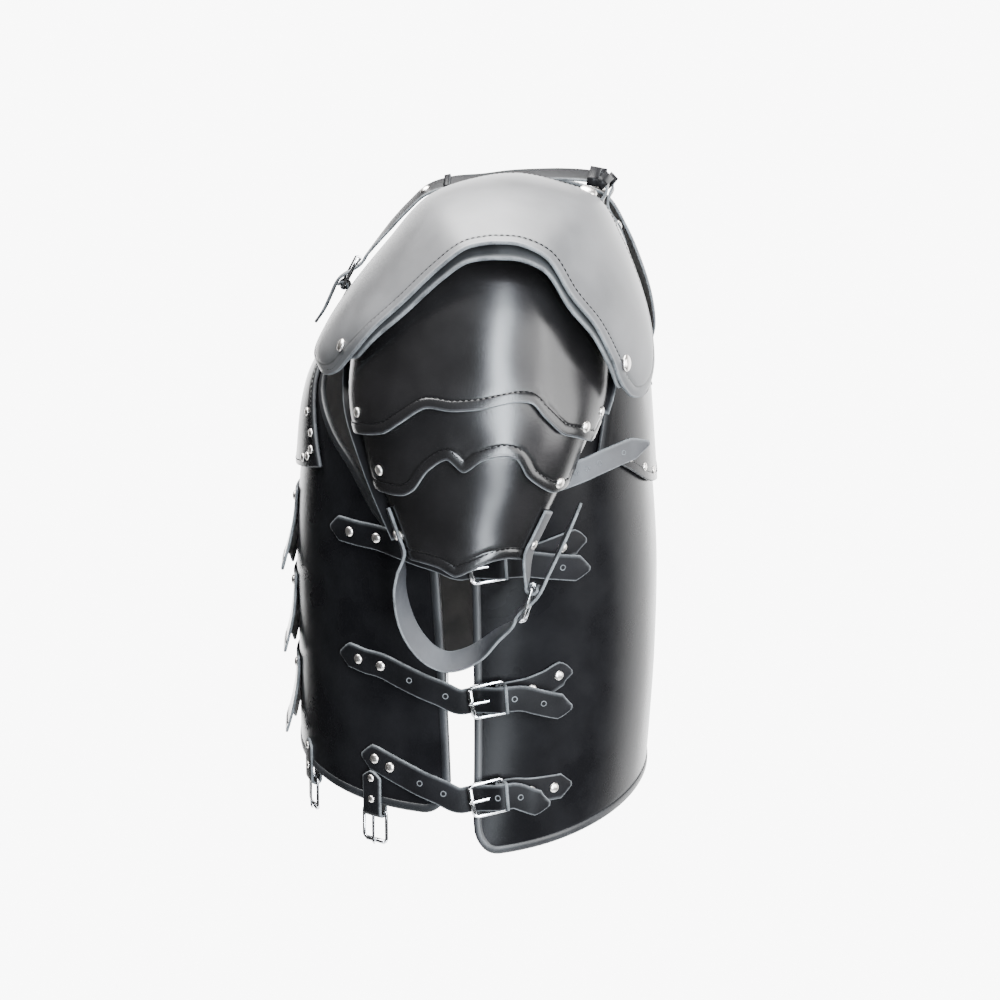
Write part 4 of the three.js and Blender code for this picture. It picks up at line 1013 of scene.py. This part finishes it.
def sweep(paths, profile, closed):
    """Points and faces of profiles (in local x, y) carried along lists of frames."""
    points, faces = [], []
    for path in paths:
        start, n, m = len(points), len(path), len(profile)
        for place, side, up, size in path:
            points += [place + side * (x * size) + up * (y * size) for x, y in profile]
        for k in range(n if closed else n - 1):
            one, two = start + k * m, start + (k + 1) % n * m
            faces += [(one + q, one + (q + 1) % m, two + (q + 1) % m, two + q) for q in range(m)]
        if not closed:
            faces.append(tuple(start + q for q in reversed(range(m))))
            faces.append(tuple(start + (n - 1) * m + q for q in range(m)))
    return points, faces


def circle(radius, count=10, squash=1.0):
    turns = [2 * math.pi * k / count for k in range(count)]
    return [(radius * math.cos(turn), squash * radius * math.sin(turn)) for turn in turns]


def buckle(name, frame_matrix, width, body="shell", mirror=False):
    """A plated frame with a roller on its outer bar and a tongue."""
    half = width / 2 + BUCKLE_SLACK + BUCKLE_BAR / 2
    length = BUCKLE_LENGTH - BUCKLE_BAR
    corner = 3.6
    outline = []
    for cx, cy, start in ((-length + corner, -half + corner, 180), (-1, -half + 1, 270),
                          (-1, half - 1, 0), (-length + corner, half - corner, 90)):
        radius = corner if cx < -5 else 1.0
        for k in range(7):
            turn = math.radians(start + 15 * k)
            outline.append(Vector((cx + radius * math.cos(turn), cy + radius * math.sin(turn), 0)))
    ring = []
    for k, p in enumerate(outline):
        along = (outline[(k + 1) % len(outline)] - outline[k - 1]).normalized()
        bend = 0.9 * math.sin(math.pi * min(max(-p.x / length, 0), 1))
        ring.append((p + Vector((0, 0, bend)), along.cross(Vector((0, 0, 1))), Vector((0, 0, 1)), 1))
    points, faces = sweep([ring], circle(BUCKLE_BAR / 2, 12, 0.85), True)

    def bar(start, end, radius, count=14):
        axis = (end - start).normalized()
        side = axis.cross(Vector((0, 0, 1))).normalized()
        up = side.cross(axis)
        sizes = [(0, 0.75), (0.04, 1), (0.96, 1), (1, 0.75)]
        made, cells = sweep([[(start.lerp(end, t), side, up, s) for t, s in sizes]],
                            circle(radius, count), False)
        offset = len(points)
        points.extend(made)
        faces.extend(tuple(offset + q for q in f) for f in cells)

    span = width / 2 + BUCKLE_SLACK - 0.6
    bar(Vector((-length, -span, 0)), Vector((-length, span, 0)), BUCKLE_BAR / 2 + 0.55)
    # The tongue: an eye round the hinge bar, a shank and a tip bent over the roller
    shank = []
    eye = BUCKLE_BAR / 2 + 0.75
    for k in range(9):
        turn = math.radians(-130 + 30 * k)
        shank.append(Vector((eye * math.cos(turn) - 0.1, 0, eye * math.sin(turn))))
    shank += [Vector((x, 0, z)) for x, z in ((-6, 2.7), (-12, 2.9), (-18, 3.0), (-22.5, 3.1),
                                             (-length, 3.25), (-length - 1.9, 2.7), (-length - 2.6, 1.9))]
    path = []
    for k in range(4 * (len(shank) - 1) + 1):
        t = k / (4 * (len(shank) - 1))
        here = centripetal(shank, t)
        ahead = centripetal(shank, min(t + 0.01, 1)) - centripetal(shank, max(t - 0.01, 0))
        ahead = ahead.normalized()
        side = Vector((0, 1, 0))
        path.append((here, side, side.cross(ahead), 1 - 0.35 * t ** 3))
    made, cells = sweep([path], [(1.45 * x, 1.05 * y) for x, y in circle(1, 10)], False)
    offset = len(points)
    points += made
    faces += [tuple(offset + q for q in f) for f in cells]
    points = [frame_matrix @ p for p in points]
    return finish_mesh(name, points, faces, [0] * len(faces), [CHROME], "metal", body, mirror=mirror)


# reach and height in radii
RIVET_PROFILE = [(1.0, -0.05), (1.0, 0.08), (0.95, 0.17), (0.85, 0.27), (0.7, 0.36), (0.5, 0.43),
                 (0.3, 0.47), (0.12, 0.485)]


# reach in radii, height in millimetres
HOLE_PROFILE = [(1.45, 0.05), (1.25, 0.21), (1.0, 0.15), (0.9, -0.2)]


def turned(spots, sides, rings_of, floor):
    """Shapes turned round spots of (point, normal, radius), from rings of (reach, height)."""
    points, faces = [], []
    for centre, normal, radius in spots:
        side = normal.orthogonal().normalized()
        up = normal.cross(side)
        start, rings = len(points), rings_of(radius)
        for reach, height in rings:
            for x, y in circle(1, sides):
                points.append(centre + (side * x + up * y) * reach + normal * height)
        for one in range(start, len(points) - sides, sides):
            faces += [(one + k, one + (k + 1) % sides, one + sides + (k + 1) % sides, one + sides + k)
                      for k in range(sides)]
        faces.append(tuple(range(len(points) - sides, len(points))))
        if floor:
            faces.append(tuple(reversed(range(start, start + sides))))
    return points, faces


def rivets(name, spots, body="shell", mirror=False):
    """Domed rivets with a flange."""
    points, faces = turned(spots, 20, lambda size: [(r * size, h * size) for r, h in RIVET_PROFILE], True)
    return finish_mesh(name, points, faces, [0] * len(faces), [NICKEL], "metal", body, mirror=mirror)


def holes(name, spots, body="shell", mirror=False):
    """Punched holes: a pressed lip round a dark floor."""
    sides = 16
    points, faces = turned(spots, sides, lambda size: [(r * size, h) for r, h in HOLE_PROFILE], False)
    slots = ([0] * 2 * sides + [1] * (sides + 1)) * len(spots)
    return finish_mesh(name, points, faces, slots, [EDGE, HOLE], "strap", body, mirror=mirror)


def on_surface(place, u, v, lift):
    """A spot on a surface, with its outward normal."""
    point = place(u, v, lift)
    return point, (place(u, v, lift + 1) - point).normalized()


def strap_spots(stations, shares, radius, v=0.5, rise=0.0):
    """Spots on a strap's outer face for rivets or holes."""
    place = strap_place(stations)
    return [(*on_surface(place, u, v, STRAP_WALL / 2 + rise), radius) for u in shares]


def turned_out(stations, at=0.1, centre=None):
    """The same strap with its upper side facing away from the body's axis or a centre."""
    point, normal = on_surface(strap_place(stations), at, 0.5, 0)
    if normal.dot(point - (centre or Vector((0, 0, point.z)))) > 0:
        return stations
    return [(p, -across, width) for p, across, width in stations]


def keeper(name, stations, u, reach_in, body="shell", mirror=False, breadth=4.6, thick=1.5,
           rise=0.9, face=None):
    """A narrow leather loop round a strap; reach_in is how far it goes under it."""
    place = strap_place(stations)
    middle = place(u, 0.5, 0)
    across, up = place(u, 1, 0) - place(u, 0, 0), (place(u, 0.5, 1) - middle).normalized()
    half, across = across.length / 2 + 1.1, across.normalized()
    top, low = STRAP_WALL / 2 + rise, -reach_in
    along, corner, path = up.cross(across), 1.2, []
    for side, level, first in ((1, top, 0), (-1, top, 90), (-1, low, 180), (1, low, 270)):
        for k in range(4):
            turn = math.radians(first + 30 * k)
            out = across * math.cos(turn) + up * math.sin(turn)
            centre = across * (side * (half - corner)) + up * (level - math.copysign(corner, level))
            path.append((middle + centre + out * corner, along, out, 1))
    profile = [(-breadth / 2, -thick / 2), (breadth / 2, -thick / 2),
               (breadth / 2, thick / 2), (-breadth / 2, thick / 2)]
    points, faces = sweep([path], profile, True)
    slots = [1 if k % 4 in (1, 3) else 0 for k in range(len(faces))]
    return finish_mesh(name, points, faces, slots, [face or STRAP, EDGE], "strap", body, mirror=mirror)


def stitches(name, place, path, lift, body="shell", mirror=False, pitch=4.2, length=3.0, radius=0.42):
    """A row of stitches along a path of (u, v)."""
    spots = [on_surface(place, u, v, lift) for u, v in path]
    total, marks = 0, [0]
    for a, b in zip(spots, spots[1:]):
        total += (b[0] - a[0]).length
        marks.append(total)
    count = int(total / pitch)
    paths, k = [], 0

    def at(distance):
        nonlocal k
        k = min(k, len(marks) - 2)
        while k < len(marks) - 2 and marks[k + 1] < distance:
            k += 1
        while k > 0 and marks[k] > distance:
            k -= 1
        t = (distance - marks[k]) / max(marks[k + 1] - marks[k], 1e-6)
        return spots[k][0].lerp(spots[k + 1][0], t), spots[k][1].lerp(spots[k + 1][1], t).normalized()

    for q in range(count):
        start = (q + 0.5) * total / count - length / 2
        row = []
        for t, rise, size in ((0, -0.35, 0.7), (0.2, 0.12, 1), (0.5, 0.25, 1.05), (0.8, 0.12, 1),
                              (1, -0.35, 0.7)):
            point, normal = at(start + t * length)
            ahead = (at(start + t * length + 0.5)[0] - at(start + t * length - 0.5)[0]).normalized()
            side = ahead.cross(normal).normalized()
            row.append((point + normal * rise, side, side.cross(ahead), size))
        paths.append(row)
    points, faces = sweep(paths, circle(radius, 6), False)
    return finish_mesh(name, points, faces, [0] * len(faces), [THREAD], "leather", body, mirror=mirror)


def binding(name, place, path, wall, width=6.0, body="shell"):
    """Folded leather round a plate's edge; path has (u, v, inward u, inward v)."""
    rows = []
    for u, v, du, dv in path:
        outer, inner = place(u, v, wall), place(u, v, 0)
        inward = place(u + du * 0.01, v + dv * 0.01, wall / 2) - place(u, v, wall / 2)
        rows.append((outer, inner, inward))
    points, faces = [], []
    profile = [(width, 0.12), (width - 0.5, 0.75), (width * 0.5, 1.0), (0.4, 1.0), (-0.9, 0.45)]
    m = 2 * len(profile)
    n = len(rows)
    for k, (outer, inner, inward) in enumerate(rows):
        tangent = (rows[(k + 1) % n][0] - rows[k - 1][0]).normalized()
        normal = (outer - inner).normalized()
        into = tangent.cross(normal).normalized()
        if into.dot(inward) < 0:
            into = -into
        points += [outer + into * x + normal * y for x, y in profile]
        points += [inner + into * x - normal * y for x, y in reversed(profile)]
    for k in range(n):
        one, two = k * m, (k + 1) % n * m
        faces += [(one + q, one + (q + 1) % m, two + (q + 1) % m, two + q) for q in range(m)]
    a, b, c = points[faces[0][0]], points[faces[0][1]], points[faces[0][2]]
    if (b - a).cross(c - b).dot(points[0] - points[m - 1]) < 0:
        faces = [f[::-1] for f in faces]
    return finish_mesh(name, points, faces, [0] * len(faces), [BINDING], "leather", body)


# Body plates
PLATE_SET = [PLATE, DARK_EDGE, FLESH]
FRONT_HEM = BODY_HEIGHT - FRONT_HEM_RISE
front_place = body_plate(-1, FRONT_EDGE_SETBACK, FRONT_HEM_SETBACK, FRONT_HEM, FRONT_TOP)
back_place = body_plate(1, BACK_EDGE_SETBACK, BACK_HEM_SETBACK, BODY_HEIGHT, BACK_TOP)
chest_place = over_plate(-1, CHEST)
yoke_place = over_plate(1, YOKE)


def plate_border(columns=110, rows=40):
    """The outline of a plate as (u, v, inward u, inward v), all the way round."""
    path = [(k / columns, 0, 0, 1) for k in range(columns)]
    path += [(1, k / rows, -1, 0) for k in range(rows)]
    path += [(1 - k / columns, 1, 0, -1) for k in range(columns)]
    return path + [(0, 1 - k / rows, 1, 0) for k in range(rows)]


for label, place in (("front_plate", front_place), ("back_plate", back_place)):
    skin = leather_sheet(f"{label}_skin", place, even(120), lambda u: even(44), PLATE_WALL,
                         PLATE_SET, lined=unlined, ripple=0.22)
    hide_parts(label)
    binding(f"{label}_binding", place, plate_border(), PLATE_WALL)

for label, place in (("chest_plate", chest_place), ("back_yoke", yoke_place)):
    skin = leather_sheet(f"{label}_skin", place, even(90), rows_from_edge(place, 26), PLATE_WALL,
                         PLATE_SET, lined=not_foot_lined, ripple=0.3)
    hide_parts(label)

for label, place, spots in (
        ("chest_plate", chest_place,
         [(0.98, 0.2), (0.968, 0.1), (0.94, 0.06), (0.9, 0.05), (0.955, 0.32)]),
        ("back_yoke", yoke_place, [(0.891, 0.04), (0.796, 0.04), (0.675, 0.04)])):
    both = [(side + (1 - 2 * side) * u, v) for u, v in spots for side in (0, 1)]
    rivets(f"{label}_rivets", [(*on_surface(place, u, v, PLATE_WALL), 3.6) for u, v in both])
    border = [(0.985, 0.97 - 0.94 * k / 40) for k in range(40)]
    border += [(0.985 - 0.97 * k / 140, 0.03) for k in range(141)]
    border += [(0.015, 0.03 + 0.94 * k / 40) for k in range(1, 41)]
    stitches(f"{label}_stitches", place, border, PLATE_WALL - 0.2)

for index, label in enumerate(("upper", "middle", "lower")):
    place = belly_lame(index)
    skin = leather_sheet(f"belly_lame_{label}_skin", place, even(60), rows_from_edge(place, 16),
                         LAME_WALL, [LAME, EDGE, FLESH], ripple=0.2)
    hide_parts(f"belly_lame_{label}")
    path = [(k / 60, 1 - GROOVE_AT / BELLY_RUN) for k in range(1, 60)]
    stitches(f"belly_lame_{label}_stitches", place, path, LAME_WALL - 0.35)
    rivets(f"belly_lame_{label}_rivets",
           [(*on_surface(place, u, 0.09, LAME_WALL), 4.2) for u in (0.06, 0.94)])

# Pauldrons
CAP_SPAN, LAME_SPAN = 462, 190
CAP_LOBE, LAME_LOBE, LOBE_LINE = 14, 11, 0.495
END_COLUMNS = (0, 0.4, 1, 1.8, 2.8, 3.9, 5, 6, 7, 7.6, 8.3, 9.2, 10.4, 12, 14, 16.5)


def end_dense(span, count):
    """Column shares that lie close together at both ends."""
    half = [c / 2 for c in spaced(span / 2, END_COLUMNS, count)]
    return half + [1 - c for c in reversed(half[:-1])]


def cap_rows(u):
    """Rows close together at the foot and the head of a cap."""
    length = max(length_at(cap_shape, u), 26)
    near = [e / length for e in EDGE_ROWS if e < length * 0.45]
    gap = 1 - 2 * near[-1]
    between = [near[-1] + gap * (k + 1) / 20 for k in range(19)]
    return near + between + [1 - e for e in reversed(near)]


def lobe_turn(place, span, radius, inset, start):
    """A path at a fixed distance inside a round end, from the head edge to the foot."""
    steps = [(start + (radius - start) * k / 80, None, inset) for k in range(80)]
    for first, head in ((90, True), (180, False)):
        for k in range(12):
            turn = math.radians(first + 90 * k / 12)
            along = radius + (radius - inset) * math.cos(turn)
            off = radius - (radius - inset) * abs(math.sin(turn))
            steps.append((along, None, off) if head else (along, off, None))
    out = []
    for along, from_foot, from_head in steps:
        u = along / span
        length = length_at(place, u)
        out.append((u, from_head / length if from_foot is None else 1 - from_foot / length))
    return out


def foot_path(place, inset, start=0.02, end=0.98, count=140):
    """A path at a fixed distance from a sheet's foot."""
    path = []
    for k in range(count + 1):
        u = start + (end - start) * k / count
        path.append((u, 1 - inset / max(length_at(place, u), 20)))
    return path


cap_shape = rounded(cap_place, CAP_SPAN, CAP_LOBE, head=True)
both_sides(leather_sheet, "pauldron_cap_skin", cap_shape, end_dense(CAP_SPAN, 56), cap_rows,
           LAME_WALL, [CAP_PAINTED_LIGHT, EDGE, FLESH], lift=-LAME_WALL, ripple=0.3, lined=all_lined,
           replaced=["pauldron_cap"])
front_turn = lobe_turn(cap_place, CAP_SPAN, CAP_LOBE, GROOVE_AT, LOBE_LINE * CAP_SPAN)
back_turn = [(1 - u, v) for u, v in reversed(front_turn)]
cap_line = front_turn + foot_path(cap_place, GROOVE_AT, 0.034, 0.966) + back_turn
both_sides(stitches, "pauldron_cap_stitches", cap_place, cap_line, -0.4)
under_shape = rounded(under_cap_place, CAP_SPAN, 9)
both_sides(leather_sheet, "pauldron_under_cap_skin", under_shape, even(110),
           rows_from_edge(under_shape, 12), LAME_WALL, [LIP_PAINTED_LIGHT, EDGE, FLESH],
           lift=-LAME_WALL, lined=unlined, replaced=["pauldron_under_cap"])
lames = [arm_lame(index) for index in range(3)]
for index, label in enumerate(("upper", "middle", "lower")):
    place = rounded(lames[index], LAME_SPAN, LAME_LOBE)
    both_sides(leather_sheet, f"arm_lame_{label}_skin", place, end_dense(LAME_SPAN, 80),
               rows_from_edge(place, 20), LAME_WALL, [LAME, EDGE, FLESH], lift=-LAME_WALL, ripple=0.25,
               replaced=[f"arm_lame_{label}"])
    both_sides(stitches, f"arm_lame_{label}_stitches", lames[index],
               foot_path(lames[index], GROOVE_AT, 0.05, 0.95), -0.4)

# u, v and radius
LAME_RIVETS = {
    "upper": [(0.144, 0.776, 3.9), (0.869, 0.893, 4.4), (0.95, 0.7, 4.0)],
    "middle": [(0.166, 0.763, 4.2), (0.874, 0.9, 4.5)],
    "lower": [(0.09, 0.8, 4.0), (0.955, 0.81, 4.0)],
}
for place, (label, spots) in zip(lames, LAME_RIVETS.items()):
    both_sides(rivets, f"arm_lame_{label}_rivets",
               [(*on_surface(place, u, v, 0), radius) for u, v, radius in spots])
CAP_RIVETS = [(0.0873, 0.784, 5.0), (0.8828, 0.864, 6.6), (0.6225, 0.075, 7.4)]
both_sides(rivets, "pauldron_cap_rivets",
           [(*on_surface(cap_place, u, v, 0), radius) for u, v, radius in CAP_RIVETS])


def lame_hanger(turn, drops, outward):
    """The inner strap that the lames are riveted to, beside their front or back edge."""
    across = Vector((-0.12, outward, 0)).normalized()
    under = -3 * LAME_STEP - 0.8
    rows = []
    for drop in drops:
        out = 5.5 - 9 * max(drop - 0.62, 0)
        rows.append((arm_point(turn, drop, under) + Vector((2, outward * out, 0)), across, 19))
    return rows


hanger_turn, hanger_centre = math.radians(84), Vector((150, SHOULDER_SETBACK, -170))
front_hanger = lame_hanger(-hanger_turn, (0.4, 0.5, 0.6, 0.7, 0.78, 0.86, 0.93), -1)
front_hanger = turned_out(front_hanger, 0.5, hanger_centre)
back_hanger = turned_out(lame_hanger(hanger_turn, (0.42, 0.48, 0.54, 0.6), 1), 0.5, hanger_centre)
both_sides(strap, "lame_hanger_front_skin", front_hanger)
both_sides(strap, "lame_hanger_back_skin", back_hanger)
both_sides(rivets, "lame_hanger_rivets", strap_spots(front_hanger, (0.05,), 2.6, 0.72))

# Straps and buckles, with their rivets and holes as shares of the strap
SIDE_RIVETS = {"upper": (0.115, 0.21), "middle": (0.117, 0.215), "lower": (0.13, 0.25)}
SIDE_HOLES = {
    "upper": (0.3, 0.39, 0.885), "middle": (0.313, 0.445, 0.753, 0.867),
    "lower": (0.35, 0.44, 0.635, 0.817),
}
TAB_RIVETS = {"upper": (0.088, 0.16), "middle": (0.065, 0.152), "lower": (0.082, 0.153)}
for label, row in SIDE_STRAPS.items():
    run, tab = turned_out(side_strap(row)), turned_out(side_tab(row))
    both_sides(strap, f"side_strap_{label}_skin", run, replaced=[f"side_strap_{label}"])
    both_sides(strap, f"side_tab_{label}_skin", tab, replaced=[f"side_tab_{label}"])
    both_sides(buckle, f"side_buckle_{label}_metal", side_buckle_frame(row), SIDE_WIDTH,
               replaced=[f"side_buckle_{label}"])
    both_sides(rivets, f"side_strap_{label}_rivets", strap_spots(run, SIDE_RIVETS[label], 4.1))
    both_sides(rivets, f"side_tab_{label}_rivets", strap_spots(tab, TAB_RIVETS[label], 4.1))
    both_sides(holes, f"side_strap_{label}_holes", strap_spots(run, SIDE_HOLES[label], 1.7))
    both_sides(keeper, f"side_keeper_{label}_loop", run, 0.715, 11.5, breadth=2.4, thick=1.1,
               face=EDGE)

shoulder_line = turned_out(shoulder_strap(), 0.4, Vector((80, 20, -60)))
both_sides(strap, "shoulder_strap_skin", shoulder_line, replaced=["shoulder_strap"])
both_sides(strap, "shoulder_tab_skin", turned_out(shoulder_tab()), replaced=["shoulder_tab"])
both_sides(buckle, "shoulder_buckle_metal", shoulder_buckle_frame(), SHOULDER_WIDTH,
           replaced=["shoulder_buckle"])
for label, at, reach_in, breadth, thick, rise in (
        ("keeper", 0.235, 2.6, 9, 2.2, 2.2), ("block", 0.19, 2.2, 9, 2.6, 1.8),
        ("front", 0.505, 2.0, 5, 1.6, 1.2)):
    both_sides(keeper, f"shoulder_{label}_loop", shoulder_line, at, reach_in, breadth=breadth,
               thick=thick, rise=rise)
both_sides(rivets, "shoulder_strap_rivets", strap_spots(shoulder_line, (0.05, 0.553), 4.4))
loop_line = arm_strap()
loop_line = turned_out(loop_line, 0.45, sum((s[0] for s in loop_line), Vector()) / len(loop_line))
rear_line, hanger_line = rear_strap(), turned_out(arm_hanger(), 0.1, Vector((240, 0, -270)))
both_sides(strap, "arm_strap_skin", loop_line, face=WORN, replaced=["arm_strap"])
both_sides(strap, "arm_strap_hanger_skin", hanger_line, face=WORN, replaced=["arm_strap_hanger"])
both_sides(buckle, "arm_buckle_metal", arm_buckle_frame(), ARM_WIDTH, replaced=["arm_buckle"])
both_sides(strap, "rear_strap_skin", rear_line, face=WORN, replaced=["rear_strap"])
both_sides(holes, "rear_strap_holes", strap_spots(rear_line, (0.32, 0.42, 0.52, 0.713), 1.4))
both_sides(rivets, "arm_strap_rivets", strap_spots(loop_line, (0.068,), 4.0))
both_sides(rivets, "arm_strap_hanger_rivets", strap_spots(hanger_line, (0.1,), 4.0))
both_sides(holes, "arm_strap_holes", strap_spots(loop_line, (0.62, 0.66, 0.93), 1.4))
for label, (along, press) in TASSET_TABS.items():
    matrix = tasset_frame(along, press)
    line = turned_out(tasset_tab(matrix), 0.1)
    both_sides(strap, f"tasset_tab_{label}_skin", line, replaced=[f"tasset_tab_{label}"])
    both_sides(rivets, f"tasset_tab_{label}_rivets", strap_spots(line, (0.065, 0.128), 3.1))
    both_sides(buckle, f"tasset_buckle_{label}_metal", matrix, TAB_WIDTH,
               body=f"tasset_buckle_{label}", replaced=[f"tasset_buckle_{label}"])


# Stage
def aimed(obj, place, towards):
    obj.location = place
    obj.rotation_euler = Vector(towards).to_track_quat("-Z", "Y").to_euler()


def area_light(name, place, aim, size, size_y, power, colour=(1, 1, 1)):
    data = bpy.data.lights.new(name, "AREA")
    data.shape = "RECTANGLE"
    data.size, data.size_y, data.energy, data.color = size, size_y, power, colour
    aimed(show(name, data), place, Vector(aim) - Vector(place))


# place, aim, width, height, power
area_light("overhead", (0.1, -0.2, 1.35), (0.15, 0.0, -0.1), 2.0, 2.0, 280)
area_light("window", (2.0, 0.74, 0.2), (0.23, 0.03, 0.2), 0.5, 2.3, 170, (0.86, 0.93, 1.0))
area_light("fill", (1.45, 1.5, 0.2), (0.2, 0.05, -0.15), 1.1, 1.3, 30)
area_light("side_panel", (0.7, 1.9, 0.0), (0.15, 0.1, -0.2), 1.1, 1.6, 55)

# Azimuth and height in degrees, strength, where it is full and where it has faded
WORLD_LOBES = [
    (185.7, -11.5, 9.0, 26, 34),
    (142, -6, 5.0, 18, 38),
]
WORLD_DIM = 0.06


def direction(azimuth, height):
    a, h = math.radians(azimuth), math.radians(height)
    return Vector((math.cos(a) * math.cos(h), math.sin(a) * math.cos(h), math.sin(h)))


def studio_world(lobes, dim_level):
    """Soft white patches of a dim studio, each round its own direction."""
    made = bpy.data.worlds.new("studio")
    made.use_nodes = True
    tree = made.node_tree
    coords = node(tree, "ShaderNodeTexCoord").outputs["Generated"]
    total = None
    for azimuth, height, strength, full, faded in lobes:
        facing = node(tree, "ShaderNodeVectorMath", operation="DOT_PRODUCT")
        tree.links.new(coords, facing.inputs[0])
        facing.inputs[1].default_value = direction(azimuth, height)
        start, end = math.cos(math.radians(faded)), math.cos(math.radians(full))
        level = smooth_step(tree, facing.outputs["Value"], start, end, 0.0, strength)
        if total is None:
            total = maths(tree, "ADD", level, dim_level)
        else:
            total = maths(tree, "MAXIMUM", level, total)
    tree.links.new(total, tree.nodes["Background"].inputs["Strength"])
    tree.nodes["Background"].inputs["Color"].default_value = (1, 1, 1, 1)
    return made


bpy.context.scene.world = studio_world(WORLD_LOBES, WORLD_DIM)

floor_mesh = bpy.data.meshes.new("floor")
floor_rim = [(x, y, FLOOR_Z) for x, y in circle(FLOOR_RADIUS, FLOOR_SIDES)]
floor_mesh.from_pydata(floor_rim, [], [tuple(range(FLOOR_SIDES))])
floor = show("floor", floor_mesh)
floor_mesh.materials.append(material("floor_paint", (0.9, 0.9, 0.9), 0.8))

camera_data = bpy.data.cameras.new("camera")
camera_data.lens = CAMERA_LENS
camera_data.sensor_width = SENSOR_WIDTH
camera = show("camera", camera_data)
aimed(camera, CAMERA_PLACE, CAMERA_AIM)
bpy.context.scene.camera = camera
